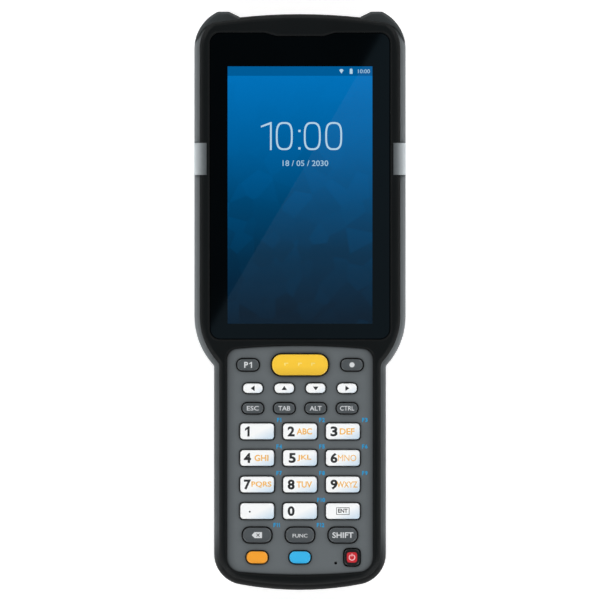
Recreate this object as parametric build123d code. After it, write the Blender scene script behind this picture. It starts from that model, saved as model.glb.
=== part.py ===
from build123d import *
import math
import os

# A handheld barcode data terminal, lying on its back. Millimetres.
# X runs across the keypad, Y along the body towards the scanning end, and Z rises out of
# the screen. The origin is under the middle of the whole length and width, at the back.

CUT = 1.0                   # cutting solids reach this far past what they cut

# ---- Body outline ---------------------------------------------------------------------
LENGTH = 202.8              # foot to the tips of the corner bumpers
HEAD_WIDTH = 74.1           # across the screen end
PAD_WIDTH = 51.4            # keypad plate
GRIP_BORDER = 4.45          # body beside the plate
BUMPER_RISE = 0.8           # bumpers beyond the top edge
FOOT_RADIUS = 114.0         # bottom edge
FOOT_CORNER_RADIUS = 10.9
NECK_RADIUS = 25.3          # shoulders where the head narrows to the grip
NECK_FILLET = 1.5
NECK_RISE = 10.3            # start of the shoulders above the keypad
TOP_RADIUS = 200.0          # top edge
SHOULDER_RADIUS = 14.5      # outer arc of the top corners
SHOULDER_DROP = 13.1        # centre of that arc below the bumper tips
CROWN_RADIUS = 7.0          # blends the top corners into the top edge

# ---- Levels ---------------------------------------------------------------------------
PARTING_Z = 29.5            # rear and front housings meet
FRONT_Z = 34.0              # face of the front frame
RIM_DEPTH = 2.3             # height of the rounded rim below the parting plane
BACK_ROUND = 6.0            # rounded edge round the back
ROUND_STEPS = 3             # flats that make a rounded edge
BACK_WALL = 2.4
SIDE_WALL = 4.2
GRIP_RELIEF = 3.0           # the back is hollowed for the palm by this much
RELIEF_FOOT = 17.4          # ends of that hollow, from the foot and from the head's top
RELIEF_HEAD = 76.0
RELIEF_FOOT_RUN = 4.0
RELIEF_HEAD_RUN = 10.0
RELIEF_RADIUS = 6.0

# ---- Front frame, glass and screen ----------------------------------------------------
BAND = 1.9                  # grey band left beside the front frame
TOP_BAND = 0.8
FRAME_ROUND = 1.4           # rounded edge of the frame
OPENING_BEVEL = 0.5         # bevel round the glass and the keypad
GLASS_MARGIN = 5.55         # body beside the glass
GLASS_TOP_MARGIN = 6.8      # glass below the top edge
GLASS_CORNER = 3.5
GLASS_THICKNESS = 1.0
GLASS_BEVEL = 0.2
GLASS_RECESS = 0.6          # glass below the face of the frame
GLASS_GAP = 0.15
CROSSBAR = 2.3              # frame between glass and keypad
BROW_DROP = 1.2             # the frame dips into the glass over the earpiece
BROW_HALF = 8.3
BROW_SLOPE = 4.0
SCREEN_BORDER = 6.15        # glass beside the lit area
SCREEN_HEIGHT = 90.1        # lit area
SCREEN_MARGIN = 5.4         # lit area above the glass's lower edge
MODULE_BORDER = 1.9
MODULE_FOOT_BORDER = 3.0
MODULE_THICKNESS = 3.6
MODULE_GAP = 0.4
MODULE_CORNER = 1.0

# ---- Keypad ---------------------------------------------------------------------------
PAD_HEIGHT = 80.2
PAD_FOOT_MARGIN = 5.5       # keypad above the foot
PAD_TOP_CORNER = 4.0
PAD_FOOT_CORNER = 5.3
PAD_ARCH = 1.4              # rise of its curved top and bottom edges
PAD_RECESS = 1.1            # plate below the face of the frame
PAD_THICKNESS = 1.7
PAD_LEDGE = 1.5
PAD_GAP = 0.1
MIC_X = 12.5
MIC_DROP = 76.1
MIC_RADIUS = 0.5

KEY_GAP = 0.25
KEY_PROUD = 1.0             # key tops above the plate
KEY_SINK = 1.1              # key feet below the plate
SCAN_KEY_PROUD = 1.4
# width, height and corner radius of each kind of key
SCAN_KEY = (20.0, 7.7, 3.4)
SIDE_PILL = (8.0, 4.4, 2.1)
ARROW_PILL = (7.2, 3.7, 1.8)
EDIT_PILL = (7.7, 4.0, 1.9)
DIGIT_KEY = (12.2, 5.9, 1.2)
WIDE_PILL = (10.4, 5.6, 2.5)
COLOUR_PILL = (7.8, 4.6, 2.2)
POWER_KEY = (5.8, 6.2, 1.6)
OUTER_COLUMN = 18.2
SMALL_COLUMN_PITCH = 11.0
DIGIT_COLUMN_PITCH = 15.0
# drop of each row below the keypad's top edge
SCAN_ROW = 6.7
ARROW_ROW = 14.9
EDIT_ROW = 21.9
DIGIT_ROW = 30.0
DIGIT_ROW_PITCH = 9.3
SHIFT_ROW = 66.3
COLOUR_ROW = 74.1

MAT_THICKNESS = 0.7
MAT_GAP = 0.1               # key feet above the mat's pillars
MAT_MARGIN = 0.75           # mat and board inside the tongues
MAT_RIM = 0.7
PILLAR_HEIGHT = 1.1
PILLAR_SHARE = 0.6          # pillar width as a share of its key
PILLAR_TAPER = 10.0
DOME_RADIUS = 2.1
DOME_HEIGHT = 0.25
DOME_SIDES = 6
DOME_SLOPE = 60.0           # of its flanks from upright, in degrees
DOME_SEAT = 0.05
BOARD_THICKNESS = 1.0

# ---- Seal, chassis and main board -----------------------------------------------------
SEAL_INSET = 2.8
SEAL_WIDTH = 1.0
SEAL_DEPTH = 0.8
FIT_GAP = 0.05              # between pieces that fit closely
TONGUE_GAP = 0.15
TONGUE_WIDTH = 1.25
TONGUE_DEPTH = 2.0
TONGUE_END = 2.0            # tongues end this far inside the straight walls
CHASSIS_Z = 24.6
CHASSIS_THICKNESS = 1.2
CHASSIS_GAP = 0.3
CHASSIS_RIB = 1.2
SCREEN_RIB_INSET = 2.0      # rib under the screen, inside its edge
SCREEN_GAP = 0.1            # rib under the screen
MAIN_BOARD_Z = 22.2
MAIN_BOARD_MARGIN = 1.45    # board inside the wall of the grip
MAIN_BOARD_END = 38.0       # below the top edge
MAIN_BOARD_FOOT = 21.4      # above the foot
CAN_HEIGHT = 1.2
# shield cans: place along the board as a share of its length, width and length
CANS = [(0.25, 30.0, 24.0), (0.52, 36.0, 28.0), (0.8, 30.0, 22.0)]
POST_WIDTH = 4.4
POST_MARGIN = 1.0           # posts inside the edge of the board

# ---- Battery --------------------------------------------------------------------------
BATTERY_WIDTH = 47.0
BATTERY_LENGTH = 90.0
BATTERY_HEIGHT = 15.3
BATTERY_FOOT = 19.4         # above the foot
BATTERY_CORNER = 3.0
BATTERY_BEVEL = 0.6
BATTERY_GAP = 0.3
TRAY_WALL = 1.6
LATCH_WIDTH = 8.0
LATCH_DEPTH = 3.5
LATCH_HEIGHT = 5.0
LATCH_TRAVEL = 1.5
LATCH_END = 3.0             # latch from the battery's head end
LATCH_GAP = 0.3
LATCH_GRIP = (0.45, 0.3)    # width and depth of its grip grooves
HOOK_WIDTH = 5.0
HOOK_REACH = 1.7
HOOK_HEIGHT = 2.5
FINGER_RADIUS = 6.0         # finger hollow beside each latch
FINGER_X = 4.0              # its middle from the battery's side
FINGER_DEPTH = 2.2
CONTACT_WIDTH = 14.0
CONTACT_LENGTH = 5.0
CONTACT_GAP = 0.3
CONTACT_INSET = 8.0         # from the battery's head end
BLADES = 5
BLADE_SLOT = (0.8, 1.2)     # width and depth of the slots for the blades

# ---- Screws ---------------------------------------------------------------------------
SCREW_RADIUS = 0.98
SCREW_HOLE = 1.1
SCREW_BITE = 1.0            # radius of the thread's hole in the front bosses
SCREW_HEAD_RADIUS = 2.0
SCREW_HEAD_HEIGHT = 1.6
SCREW_SEAT_Z = 10.0
SCREW_REACH = 4.6           # thread above the rear bosses
SCREW_END = 0.3             # hole past the end of the screw
COUNTERBORE = 2.2
REAR_BOSS = 3.4
FRONT_BOSS = 1.9
BOSS_GAP = 0.4              # boards and chassis round the front bosses
BOSS_TOP = 1.5              # front bosses end this far behind the glass
TOP_SCREW_INSET = 5.85      # screws from the inside of the wall
TOP_SCREW_DROP = 12.0
NECK_SCREW_INSET = 3.05
NECK_SCREW_DROP = 4.3
FOOT_SCREW_INSET = 1.95
FOOT_SCREW_RISE = 15.4

# ---- Scanning end ---------------------------------------------------------------------
WINDOW_WIDTH = 36.0
WINDOW_HEIGHT = 14.5
WINDOW_Z = 14.5             # middle of the window
WINDOW_LIP = 1.2
WINDOW_INSET = 1.6
WINDOW_THICKNESS = 1.6
WINDOW_GAP = 0.1
ENGINE_WIDTH = 22.0
ENGINE_LENGTH = 14.0
ENGINE_HEIGHT = 12.0
ENGINE_SETBACK = 8.0
BARRELS = [(-5.0, 4.0), (5.5, 2.6)]  # place across and radius of the lens barrels
BARREL_LENGTH = 1.5
BRACKET_SHEET = 1.2
BRACKET_HEIGHT = 5.6
BRACKET_MARGIN = 3.0
BRACKET_SETBACK = 1.0
BRACKET_EAR = 5.0
BUMPER_WIDTH = 15.85        # bumpers from the side of the head inwards
BUMPER_END_DROP = 11.1      # and end this far below their tips
BUMPER_TAPER = (4.05, 5.7)  # run and rise of the slanting end
BUMPER_DEPTH = 1.2
BUMPER_FLAT_INSET = 12.15   # flat tip of a bumper starts this far from the side
BUMPER_FLANK_DROP = 1.0     # start of the flank below the top edge
BUMPER_Z = 5.5
BUMPER_FILLET = 1.2
BUMPER_EDGE = 0.8

# ---- Light pipes, side buttons --------------------------------------------------------
PIPE_LENGTH = 11.2
PIPE_DROP = 50.9            # middle of the pipes below the top edge
PIPE_REACH = 4.35
PIPE_FOOT_Z = 24.0
PIPE_SHELF = 1.0
PIPE_ROUND = 2.6
PIPE_SINK = 0.1             # pipes below the face of the frame
PIPE_GAP = 0.05
BUTTON_Z = 16.0
BUTTON_HEIGHT = 6.0
BUTTON_FLANGE = 1.0
BUTTON_SETBACK = 0.1        # flange behind the wall
BUTTON_GAP = 0.25
ROCKER_GAP = 0.35
ROCKER_SETBACK = 0.75
TRIGGER_LENGTH = 22.0
TALK_LENGTH = 10.0
VOLUME_LENGTH = 20.0
TRIGGER_RISE = 29.7         # middles of the buttons above the start of the shoulders
TALK_RISE = 49.7
VOLUME_RISE = 73.7
SWITCH_BOARD = 0.9
SWITCH_HEIGHT = 0.7
SWITCH_SIZE = 4.0
SWITCH_SETBACK = 2.95       # board behind the inside of the wall
SWITCH_FOOT_Z = 5.7
SWITCH_HEAD_Z = 20.0
SWITCH_POST = (5.0, 2.0)    # post's faces behind the inside of the wall
SWITCH_POST_WIDTH = 4.0
SWITCH_POST_INSET = 3.0     # from the board's end
SWITCH_MARGIN = 1.5         # board past the buttons
SLOT_GAP = 0.1
ROCKER_ARM = 6.0            # switches from the middle of the rocker

# ---- Sound, dock, strap ---------------------------------------------------------------
SPEAKER_DROP = 38.0
SPEAKER_WIDTH = 28.0
SPEAKER_LENGTH = 16.0
SPEAKER_HEIGHT = 4.5
SLOT_WIDTH = 1.2
SLOT_LENGTH = 11.0
SLOT_PITCH = 2.6
SLOT_COUNT = 5
MOTOR_RADIUS = 5.0
MOTOR_HEIGHT = 3.4
MOTOR_X = 21.0
MOTOR_RISE = 8.0            # motor beyond the middle of the loudspeaker
DOCK_WIDTH = 24.0
DOCK_HEIGHT = 5.0
DOCK_Z = 13.0
DOCK_FLANGE = 1.8
DOCK_DEPTH = 5.0
DOCK_RECESS = 0.9
DOCK_GAP = 0.1
DOCK_CONTACTS = 8
DOCK_CORNER = 1.5
DOCK_MARGIN = 1.5           # nose past its outer contacts
DOCK_SLOT = (1.2, 2.4, 0.8)  # width, height and depth of a contact's slot
FOOT_CAVITY_WIDTH = 40.0
STRAP_WIDTH = 22.0
STRAP_POCKET = 7.0
STRAP_DEPTH = 6.5
STRAP_BAR_RADIUS = 1.25
STRAP_BAR_Z = 2.6
STRAP_BAR_BITE = 2.0
BAR_GAP = 0.02
STRAP_HEAD_DROP = 60.5
STRAP_FOOT_RISE = 11.4

# ---- Places worked out from the values above ------------------------------------------
HEAD_X = HEAD_WIDTH / 2
GRIP_X = PAD_WIDTH / 2 + GRIP_BORDER
GLASS_WIDTH = HEAD_WIDTH - 2 * GLASS_MARGIN
SCREEN_WIDTH = GLASS_WIDTH - 2 * SCREEN_BORDER
BUMPER_START = HEAD_X - BUMPER_WIDTH
FOOT_Y = -LENGTH / 2
TIP_Y = LENGTH / 2
TOP_Y = TIP_Y - BUMPER_RISE
PAD_FOOT_Y = FOOT_Y + PAD_FOOT_MARGIN
PAD_TOP_Y = PAD_FOOT_Y + PAD_HEIGHT
NECK_Y = PAD_TOP_Y + NECK_RISE
GLASS_FOOT_Y = PAD_TOP_Y + CROSSBAR
GLASS_TOP_Y = TOP_Y - GLASS_TOP_MARGIN
GLASS_TOP_Z = FRONT_Z - GLASS_RECESS
GLASS_Z = GLASS_TOP_Z - GLASS_THICKNESS
MODULE_FOOT_Y = GLASS_FOOT_Y + SCREEN_MARGIN - MODULE_FOOT_BORDER
MODULE_HALF = SCREEN_WIDTH / 2 + MODULE_BORDER
MAT_INSET = SIDE_WALL + TONGUE_GAP + TONGUE_WIDTH + MAT_MARGIN - GRIP_BORDER
PAD_Z = FRONT_Z - PAD_RECESS - PAD_THICKNESS
PAD_TOP_Z = PAD_Z + PAD_THICKNESS
KEY_Z = PAD_Z - KEY_SINK
PILLAR_TOP_Z = KEY_Z - MAT_GAP
MAT_TOP_Z = PILLAR_TOP_Z - PILLAR_HEIGHT
MAT_Z = MAT_TOP_Z - MAT_THICKNESS
KEY_BOARD_TOP_Z = MAT_Z - DOME_SEAT - DOME_HEIGHT
KEY_BOARD_Z = KEY_BOARD_TOP_Z - BOARD_THICKNESS
CHASSIS_TOP_Z = CHASSIS_Z + CHASSIS_THICKNESS
MAIN_FOOT_Y = FOOT_Y + MAIN_BOARD_FOOT
MAIN_HEAD_Y = TOP_Y - MAIN_BOARD_END
BAY_TOP_Z = GRIP_RELIEF + BATTERY_HEIGHT + BATTERY_GAP
CAVITY_Z = BAY_TOP_Z + TRAY_WALL
BATTERY_FOOT_Y = FOOT_Y + BATTERY_FOOT
BATTERY_HEAD_Y = BATTERY_FOOT_Y + BATTERY_LENGTH
TRAY_HEAD_Y = BATTERY_HEAD_Y + BATTERY_GAP + TRAY_WALL
LATCH_Y = BATTERY_HEAD_Y - LATCH_END - LATCH_WIDTH / 2
INNER_X = HEAD_X - SIDE_WALL
GRIP_INNER_X = GRIP_X - SIDE_WALL
BOARD_HALF = GRIP_INNER_X - MAIN_BOARD_MARGIN
SPEAKER_Y = TOP_Y - SPEAKER_DROP
STRAP_BARS = (TOP_Y - STRAP_HEAD_DROP, FOOT_Y + STRAP_FOOT_RISE)
TRIGGER_Y = NECK_Y + TRIGGER_RISE
TALK_Y = NECK_Y + TALK_RISE
VOLUME_Y = NECK_Y + VOLUME_RISE
ENGINE_HEAD_Y = TOP_Y - ENGINE_SETBACK
SCREW_PLACES = [
    (side * x, y)
    for x, y in (
        (INNER_X - TOP_SCREW_INSET, TOP_Y - TOP_SCREW_DROP),
        (INNER_X - NECK_SCREW_INSET, NECK_Y - NECK_SCREW_DROP),
        (GRIP_INNER_X - FOOT_SCREW_INSET, FOOT_Y + FOOT_SCREW_RISE),
    )
    for side in (-1, 1)
]


def row(drop, pitch, size, names):
    """One row of keys: name -> (x, y, width, height, corner radius)."""
    first = -pitch * (len(names) - 1) / 2
    y = PAD_TOP_Y - drop
    return {name: (first + pitch * i, y, *size) for i, name in enumerate(names)}


KEYS = row(SCAN_ROW, 2 * OUTER_COLUMN, SIDE_PILL, ["p1", "dot"])
KEYS |= row(SCAN_ROW, 0, SCAN_KEY, ["scan"])
KEYS |= row(ARROW_ROW, SMALL_COLUMN_PITCH, ARROW_PILL, ["left", "up", "down", "right"])
KEYS |= row(EDIT_ROW, SMALL_COLUMN_PITCH, EDIT_PILL, ["esc", "tab", "alt", "ctrl"])
for line, digits in enumerate((["1", "2", "3"], ["4", "5", "6"], ["7", "8", "9"], ["point", "0", "enter"])):
    KEYS |= row(DIGIT_ROW + line * DIGIT_ROW_PITCH, DIGIT_COLUMN_PITCH, DIGIT_KEY, digits)
KEYS |= row(SHIFT_ROW, DIGIT_COLUMN_PITCH, WIDE_PILL, ["backspace", "func", "shift"])
KEYS["orange"] = (-DIGIT_COLUMN_PITCH, PAD_TOP_Y - COLOUR_ROW, *COLOUR_PILL)
KEYS["blue"] = (0, PAD_TOP_Y - COLOUR_ROW, *COLOUR_PILL)
KEYS["power"] = (OUTER_COLUMN, PAD_TOP_Y - COLOUR_ROW, *POWER_KEY)


# ---- Helpers --------------------------------------------------------------------------
def block(x0, x1, y0, y1, z0, z1):
    """Box between two corners."""
    return Pos((x0 + x1) / 2, (y0 + y1) / 2, (z0 + z1) / 2) * Box(x1 - x0, y1 - y0, z1 - z0)


def prism(face, z0, z1):
    """Upright prism of a plan face."""
    return Pos(0, 0, z0) * extrude(face, z1 - z0, dir=(0, 0, 1))


def drum(x, y, radius, z0, z1):
    """Upright cylinder."""
    return Pos(x, y, (z0 + z1) / 2) * Cylinder(radius, z1 - z0)


def mirrored(part):
    """A part with its mirror image on the other side."""
    return [part, mirror(part, Plane.YZ)]


def arc(centre, start, end):
    """Minor arc from start to end about a centre."""
    middle = Vector(*centre)
    first = Vector(*start) - middle
    last = Vector(*end) - middle
    return ThreePointArc(middle + first, middle + (first + last).normalized() * first.length, middle + last)


def reach(centre, towards, radius):
    """Point at a radius from a centre, in the direction of another point."""
    length = math.dist(centre, towards)
    return tuple(c + (t - c) * radius / length for c, t in zip(centre, towards))


def circle_crossing(centre_a, radius_a, centre_b, radius_b):
    """Right-hand crossing of two circles, seen from a to b."""
    gap = math.dist(centre_a, centre_b)
    along = (gap ** 2 + radius_a ** 2 - radius_b ** 2) / (2 * gap)
    off = math.sqrt(radius_a ** 2 - along ** 2)
    ux, uy = ((b - a) / gap for a, b in zip(centre_a, centre_b))
    return centre_a[0] + along * ux + off * uy, centre_a[1] + along * uy - off * ux


# ---- Outlines in plan -----------------------------------------------------------------
def outline(side=0.0, top=None):
    """Body outline, shrunk by an inset at the sides and foot and another along the top edge."""
    top = side if top is None else top
    foot_centre = (0, FOOT_Y + FOOT_RADIUS)
    corner_x = GRIP_X - FOOT_CORNER_RADIUS
    corner_y = foot_centre[1] - math.sqrt((FOOT_RADIUS - FOOT_CORNER_RADIUS) ** 2 - corner_x ** 2)
    foot_corner = (corner_x, corner_y)
    foot_end = reach(foot_centre, foot_corner, FOOT_RADIUS - side)
    neck_centre = (HEAD_X - NECK_RADIUS, NECK_Y)
    fillet_x = GRIP_X + NECK_FILLET
    fillet_y = NECK_Y - math.sqrt((NECK_RADIUS + NECK_FILLET) ** 2 - (fillet_x - neck_centre[0]) ** 2)
    neck_foot = reach(neck_centre, (fillet_x, fillet_y), NECK_RADIUS - side)
    shoulder = (HEAD_X - SHOULDER_RADIUS, TIP_Y - SHOULDER_DROP)
    top_centre = (0, TOP_Y - TOP_RADIUS)
    crown_radius = CROWN_RADIUS - side
    crown = circle_crossing(
        top_centre, TOP_RADIUS - top - crown_radius, shoulder, SHOULDER_RADIUS - side - crown_radius
    )
    shoulder_end = reach(shoulder, crown, SHOULDER_RADIUS - side)
    crown_end = reach(top_centre, crown, TOP_RADIUS - top)
    grip_x = GRIP_X - side
    head_x = HEAD_X - side
    half = Curve() + [
        arc(foot_centre, (0, FOOT_Y + side), foot_end),
        arc(foot_corner, foot_end, (grip_x, corner_y)),
        Line((grip_x, corner_y), (grip_x, fillet_y)),
        arc((fillet_x, fillet_y), (grip_x, fillet_y), neck_foot),
        arc(neck_centre, neck_foot, (head_x, NECK_Y)),
        Line((head_x, NECK_Y), (head_x, shoulder[1])),
        arc(shoulder, (head_x, shoulder[1]), shoulder_end),
        arc(crown, shoulder_end, crown_end),
        arc(top_centre, crown_end, (0, TOP_Y - top)),
    ]
    return make_face(half + mirror(half, Plane.YZ))


def rounded_edge(side, top, z, side_across, top_across, rise):
    """Edge layer of a body: outlines that shrink and rise by a quarter of an ellipse."""
    sections = []
    for step in range(ROUND_STEPS + 1):
        turn = math.radians(90 * step / ROUND_STEPS)
        share = 1 - math.cos(turn)
        face = outline(side + side_across * share, top + top_across * share)
        sections.append(Pos(0, 0, z + rise * math.sin(turn)) * face)
    return loft(sections, ruled=True)


def glass_face(grow=0.0):
    """Outline of the glass, with the brow of the frame taken out of its top edge."""
    middle = (GLASS_FOOT_Y + GLASS_TOP_Y) / 2
    sheet = Pos(0, middle) * RectangleRounded(GLASS_WIDTH, GLASS_TOP_Y - GLASS_FOOT_Y, GLASS_CORNER)
    brow = Pos(0, GLASS_TOP_Y) * Polygon(
        (-BROW_HALF - BROW_SLOPE, 0),
        (-BROW_HALF, -BROW_DROP),
        (BROW_HALF, -BROW_DROP),
        (BROW_HALF + BROW_SLOPE, 0),
        (BROW_HALF + BROW_SLOPE, BROW_DROP),
        (-BROW_HALF - BROW_SLOPE, BROW_DROP),
        align=None,
    )
    sheet = sheet - brow
    return offset(sheet, grow, kind=Kind.INTERSECTION) if grow else sheet


def pad_face(grow=0.0):
    """Outline of the keypad plate: arched ends and rounded corners."""
    half = PAD_WIDTH / 2
    sides = PAD_TOP_Y - PAD_ARCH, PAD_FOOT_Y + PAD_ARCH
    face = make_face(
        Curve()
        + [
            ThreePointArc((-half, sides[1]), (0, PAD_FOOT_Y), (half, sides[1])),
            Line((half, sides[1]), (half, sides[0])),
            ThreePointArc((half, sides[0]), (0, PAD_TOP_Y), (-half, sides[0])),
            Line((-half, sides[0]), (-half, sides[1])),
        ]
    )
    corners = face.vertices().sort_by(Axis.Y)
    face = fillet(corners[:2], PAD_FOOT_CORNER)
    corners = face.vertices().sort_by(Axis.Y)
    face = fillet(corners[-2:], PAD_TOP_CORNER)
    return offset(face, grow) if grow else face


def key_face(key, grow=0.0):
    """Outline of one key."""
    x, y, width, height, corner = key
    return Pos(x, y) * RectangleRounded(width + 2 * grow, height + 2 * grow, corner + grow)


# ---- Rear housing ---------------------------------------------------------------------
def behind_back(lift=0.0):
    """The space behind the back, which is hollowed for the palm between the foot and the head."""
    foot = FOOT_Y + RELIEF_FOOT
    head = TOP_Y - RELIEF_HEAD
    ends = FOOT_Y - RELIEF_RADIUS, TIP_Y + RELIEF_RADIUS
    curve = FilletPolyline(
        (ends[0], lift),
        (foot - RELIEF_FOOT_RUN, lift),
        (foot, lift + GRIP_RELIEF),
        (head, lift + GRIP_RELIEF),
        (head + RELIEF_HEAD_RUN, lift),
        (ends[1], lift),
        radius=RELIEF_RADIUS,
    )
    frame = Polyline((ends[1], lift), (ends[1], -CUT), (ends[0], -CUT), (ends[0], lift))
    section = Plane.YZ * make_face(curve + frame)
    return extrude(section, HEAD_WIDTH, both=True)


def housing_shell():
    """Outside of the rear housing: rounded back edge, hollowed back and rounded rim."""
    rim_z = PARTING_Z - RIM_DEPTH
    body = prism(outline(), BACK_ROUND, rim_z)
    body += rounded_edge(0, 0, BACK_ROUND, BACK_ROUND, BACK_ROUND, -BACK_ROUND)
    body += rounded_edge(0, 0, rim_z, BAND, TOP_BAND, RIM_DEPTH)
    return body - behind_back()


def electronics_space():
    """Inside of the rear housing: over the battery tray, in the head and in the foot."""
    inside = outline(SIDE_WALL)
    over_tray = prism(inside, CAVITY_Z, PARTING_Z + CUT)
    head = prism(inside, 0, CAVITY_Z) & block(-HEAD_X, HEAD_X, TRAY_HEAD_Y, TIP_Y, 0, CAVITY_Z)
    head -= behind_back(BACK_WALL)
    half = FOOT_CAVITY_WIDTH / 2
    foot_y = BATTERY_FOOT_Y - BATTERY_GAP - TRAY_WALL
    foot = prism(inside, STRAP_DEPTH + TRAY_WALL, CAVITY_Z) & block(-half, half, FOOT_Y, foot_y, 0, CAVITY_Z)
    return over_tray + head + foot


def battery_bay():
    """Opening for the battery, from the back up to the tray, with grooves for the latch hooks."""
    gap = BATTERY_GAP
    middle = BATTERY_FOOT_Y + BATTERY_LENGTH / 2
    mouth = Pos(0, middle) * RectangleRounded(
        BATTERY_WIDTH + 2 * gap, BATTERY_LENGTH + 2 * gap, BATTERY_CORNER + gap
    )
    bay = prism(mouth, -CUT, BAY_TOP_Z)
    half = BATTERY_WIDTH / 2
    hook = HOOK_WIDTH / 2 + LATCH_GAP
    top = GRIP_RELIEF + LATCH_HEIGHT + LATCH_GAP
    groove = block(half - CUT, half + HOOK_REACH + LATCH_GAP, LATCH_Y - hook, LATCH_Y + hook, -CUT, top)
    finger = drum(half + FINGER_X, LATCH_Y, FINGER_RADIUS, -CUT, GRIP_RELIEF + FINGER_DEPTH)
    return bay + mirrored(groove) + mirrored(finger)


def strap_pocket(y):
    """Recess across the back that a hand strap's loop goes into, round a steel bar."""
    half = STRAP_WIDTH / 2
    return block(-half, half, y - STRAP_POCKET / 2, y + STRAP_POCKET / 2, -CUT, STRAP_DEPTH)


def strap_bar(y, gap=0.0):
    """Steel bar across a strap pocket."""
    length = STRAP_WIDTH + 2 * (STRAP_BAR_BITE + gap)
    return Pos(0, y, STRAP_BAR_Z) * Rot(0, 90, 0) * Cylinder(STRAP_BAR_RADIUS + gap, length)


def window_block(grow):
    """Block through the top wall, round the middle of the scan window."""
    half = WINDOW_WIDTH / 2 + grow
    height = WINDOW_HEIGHT / 2 + grow
    return block(-half, half, TOP_Y - 2 * SIDE_WALL, TIP_Y, WINDOW_Z - height, WINDOW_Z + height)


def window_opening():
    """Opening in the top wall for the scan window, with a rebate behind its lip."""
    return window_block(0) + (window_block(WINDOW_LIP) & prism(outline(WINDOW_INSET), 0, PARTING_Z))


def button_section(length, grow):
    """Section of a side button, looking along X."""
    height = BUTTON_HEIGHT + 2 * grow
    return Plane.YZ * SlotOverall(length + 2 * grow, height)


def button_hole(y, length, gap):
    """Hole through the right-hand wall for a side button."""
    hole = extrude(button_section(length, gap), SIDE_WALL + 2 * CUT, dir=(1, 0, 0))
    return Pos(INNER_X - CUT, y, BUTTON_Z) * hole


def pipe_section(gap=0.0):
    """Section of the right-hand light pipe: a skin on the side wall and a cap over the frame."""
    inner = HEAD_X - PIPE_REACH - gap
    frame = HEAD_X - BAND + PIPE_GAP - gap
    shelf = PARTING_Z + PIPE_SHELF
    foot = PIPE_FOOT_Z - gap
    corner = (HEAD_X - PIPE_ROUND, FRONT_Z - PIPE_SINK - PIPE_ROUND)
    side = (HEAD_X, corner[1])
    top = (corner[0], corner[1] + PIPE_ROUND)
    wire = Curve() + [
        Line((frame, foot), (HEAD_X, foot)),
        Line((HEAD_X, foot), side),
        arc(corner, side, top),
        Line(top, (inner, top[1])),
        Line((inner, top[1]), (inner, shelf)),
        Line((inner, shelf), (frame, shelf)),
        Line((frame, shelf), (frame, foot)),
    ]
    return Plane.XZ * make_face(wire)


def pipe_notch():
    """Notch in both housings for the right-hand light pipe."""
    half = PIPE_LENGTH / 2 + PIPE_GAP
    y = TOP_Y - PIPE_DROP
    shelf = PARTING_Z + PIPE_SHELF - PIPE_GAP
    outer = HEAD_X + CUT
    cap = block(HEAD_X - PIPE_REACH - PIPE_GAP, outer, y - half, y + half, shelf, FRONT_Z + CUT)
    skin = block(HEAD_X - BAND, outer, y - half, y + half, PIPE_FOOT_Z - PIPE_GAP, FRONT_Z)
    return cap + skin


def switch_board_posts(length, middle):
    """Slotted posts on the floor of the head that hold a side switch board."""
    inner, outer = SWITCH_POST
    half = SWITCH_POST_WIDTH / 2
    posts = []
    for end in (-1, 1):
        y = middle + end * (length / 2 - SWITCH_POST_INSET)
        posts.append(block(INNER_X - inner, INNER_X - outer, y - half, y + half, 0, BUTTON_Z - BUTTON_HEIGHT))
    return posts


def switch_board_plate(length, middle, gap=0.0):
    """The board itself, on edge beside the wall."""
    outer = INNER_X - SWITCH_SETBACK + gap
    inner = outer - SWITCH_BOARD - 2 * gap
    half = length / 2 + gap
    return block(inner, outer, middle - half, middle + half, SWITCH_FOOT_Z - gap, SWITCH_HEAD_Z)


def switch_boards():
    """Length and middle of the switch board on each side, left first."""
    foot = TRIGGER_Y - TRIGGER_LENGTH / 2 - SWITCH_MARGIN
    left = VOLUME_Y + VOLUME_LENGTH / 2 + SWITCH_MARGIN
    right = TRIGGER_Y + TRIGGER_LENGTH / 2 + SWITCH_MARGIN
    return [(-1, left - foot, (left + foot) / 2), (1, right - foot, (right + foot) / 2)]


def inner_supports():
    """Screw bosses, board posts, strap-pocket walls and switch-board posts."""
    parts = [drum(x, y, REAR_BOSS, 0, CHASSIS_Z) for x, y in SCREW_PLACES]
    half = STRAP_WIDTH / 2 + STRAP_BAR_BITE + TRAY_WALL
    y = STRAP_BARS[0]
    reach_y = STRAP_POCKET / 2 + TRAY_WALL
    parts.append(block(-half, half, y - reach_y, y + reach_y, 0, STRAP_DEPTH + TRAY_WALL))
    half = POST_WIDTH / 2
    parts += [block(x - half, x + half, y - half, y + half, 0, MAIN_BOARD_Z) for x, y in board_posts()]
    for side, length, middle in switch_boards():
        posts = Part() + switch_board_posts(length, middle)
        posts -= switch_board_plate(length, middle, SLOT_GAP)
        parts.append(posts if side > 0 else mirror(posts, Plane.YZ))
    return Part() + parts


def board_posts():
    """Places of the posts under the main board."""
    inset = POST_WIDTH / 2 + POST_MARGIN
    x = BOARD_HALF - inset
    foot = MAIN_FOOT_Y + inset
    head = MAIN_HEAD_Y - inset
    return [(side * x, y) for y in (foot, (foot + head) / 2, head) for side in (-1, 1)]


def seal_groove():
    """Groove in the rim for the housing seal."""
    ring = outline(SEAL_INSET) - outline(SEAL_INSET + SEAL_WIDTH)
    return prism(ring, PARTING_Z - SEAL_DEPTH, PARTING_Z + CUT)


def bumper_corner():
    """Corner of the head that the right-hand bumper takes up, in plan."""
    foot = TIP_Y - BUMPER_END_DROP
    run, rise = BUMPER_TAPER
    return Polygon(
        (BUMPER_START, foot + rise),
        (HEAD_X - run, foot + rise),
        (HEAD_X, foot),
        (HEAD_X + CUT, foot),
        (HEAD_X + CUT, TIP_Y + CUT),
        (BUMPER_START, TIP_Y + CUT),
        align=None,
    )


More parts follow.
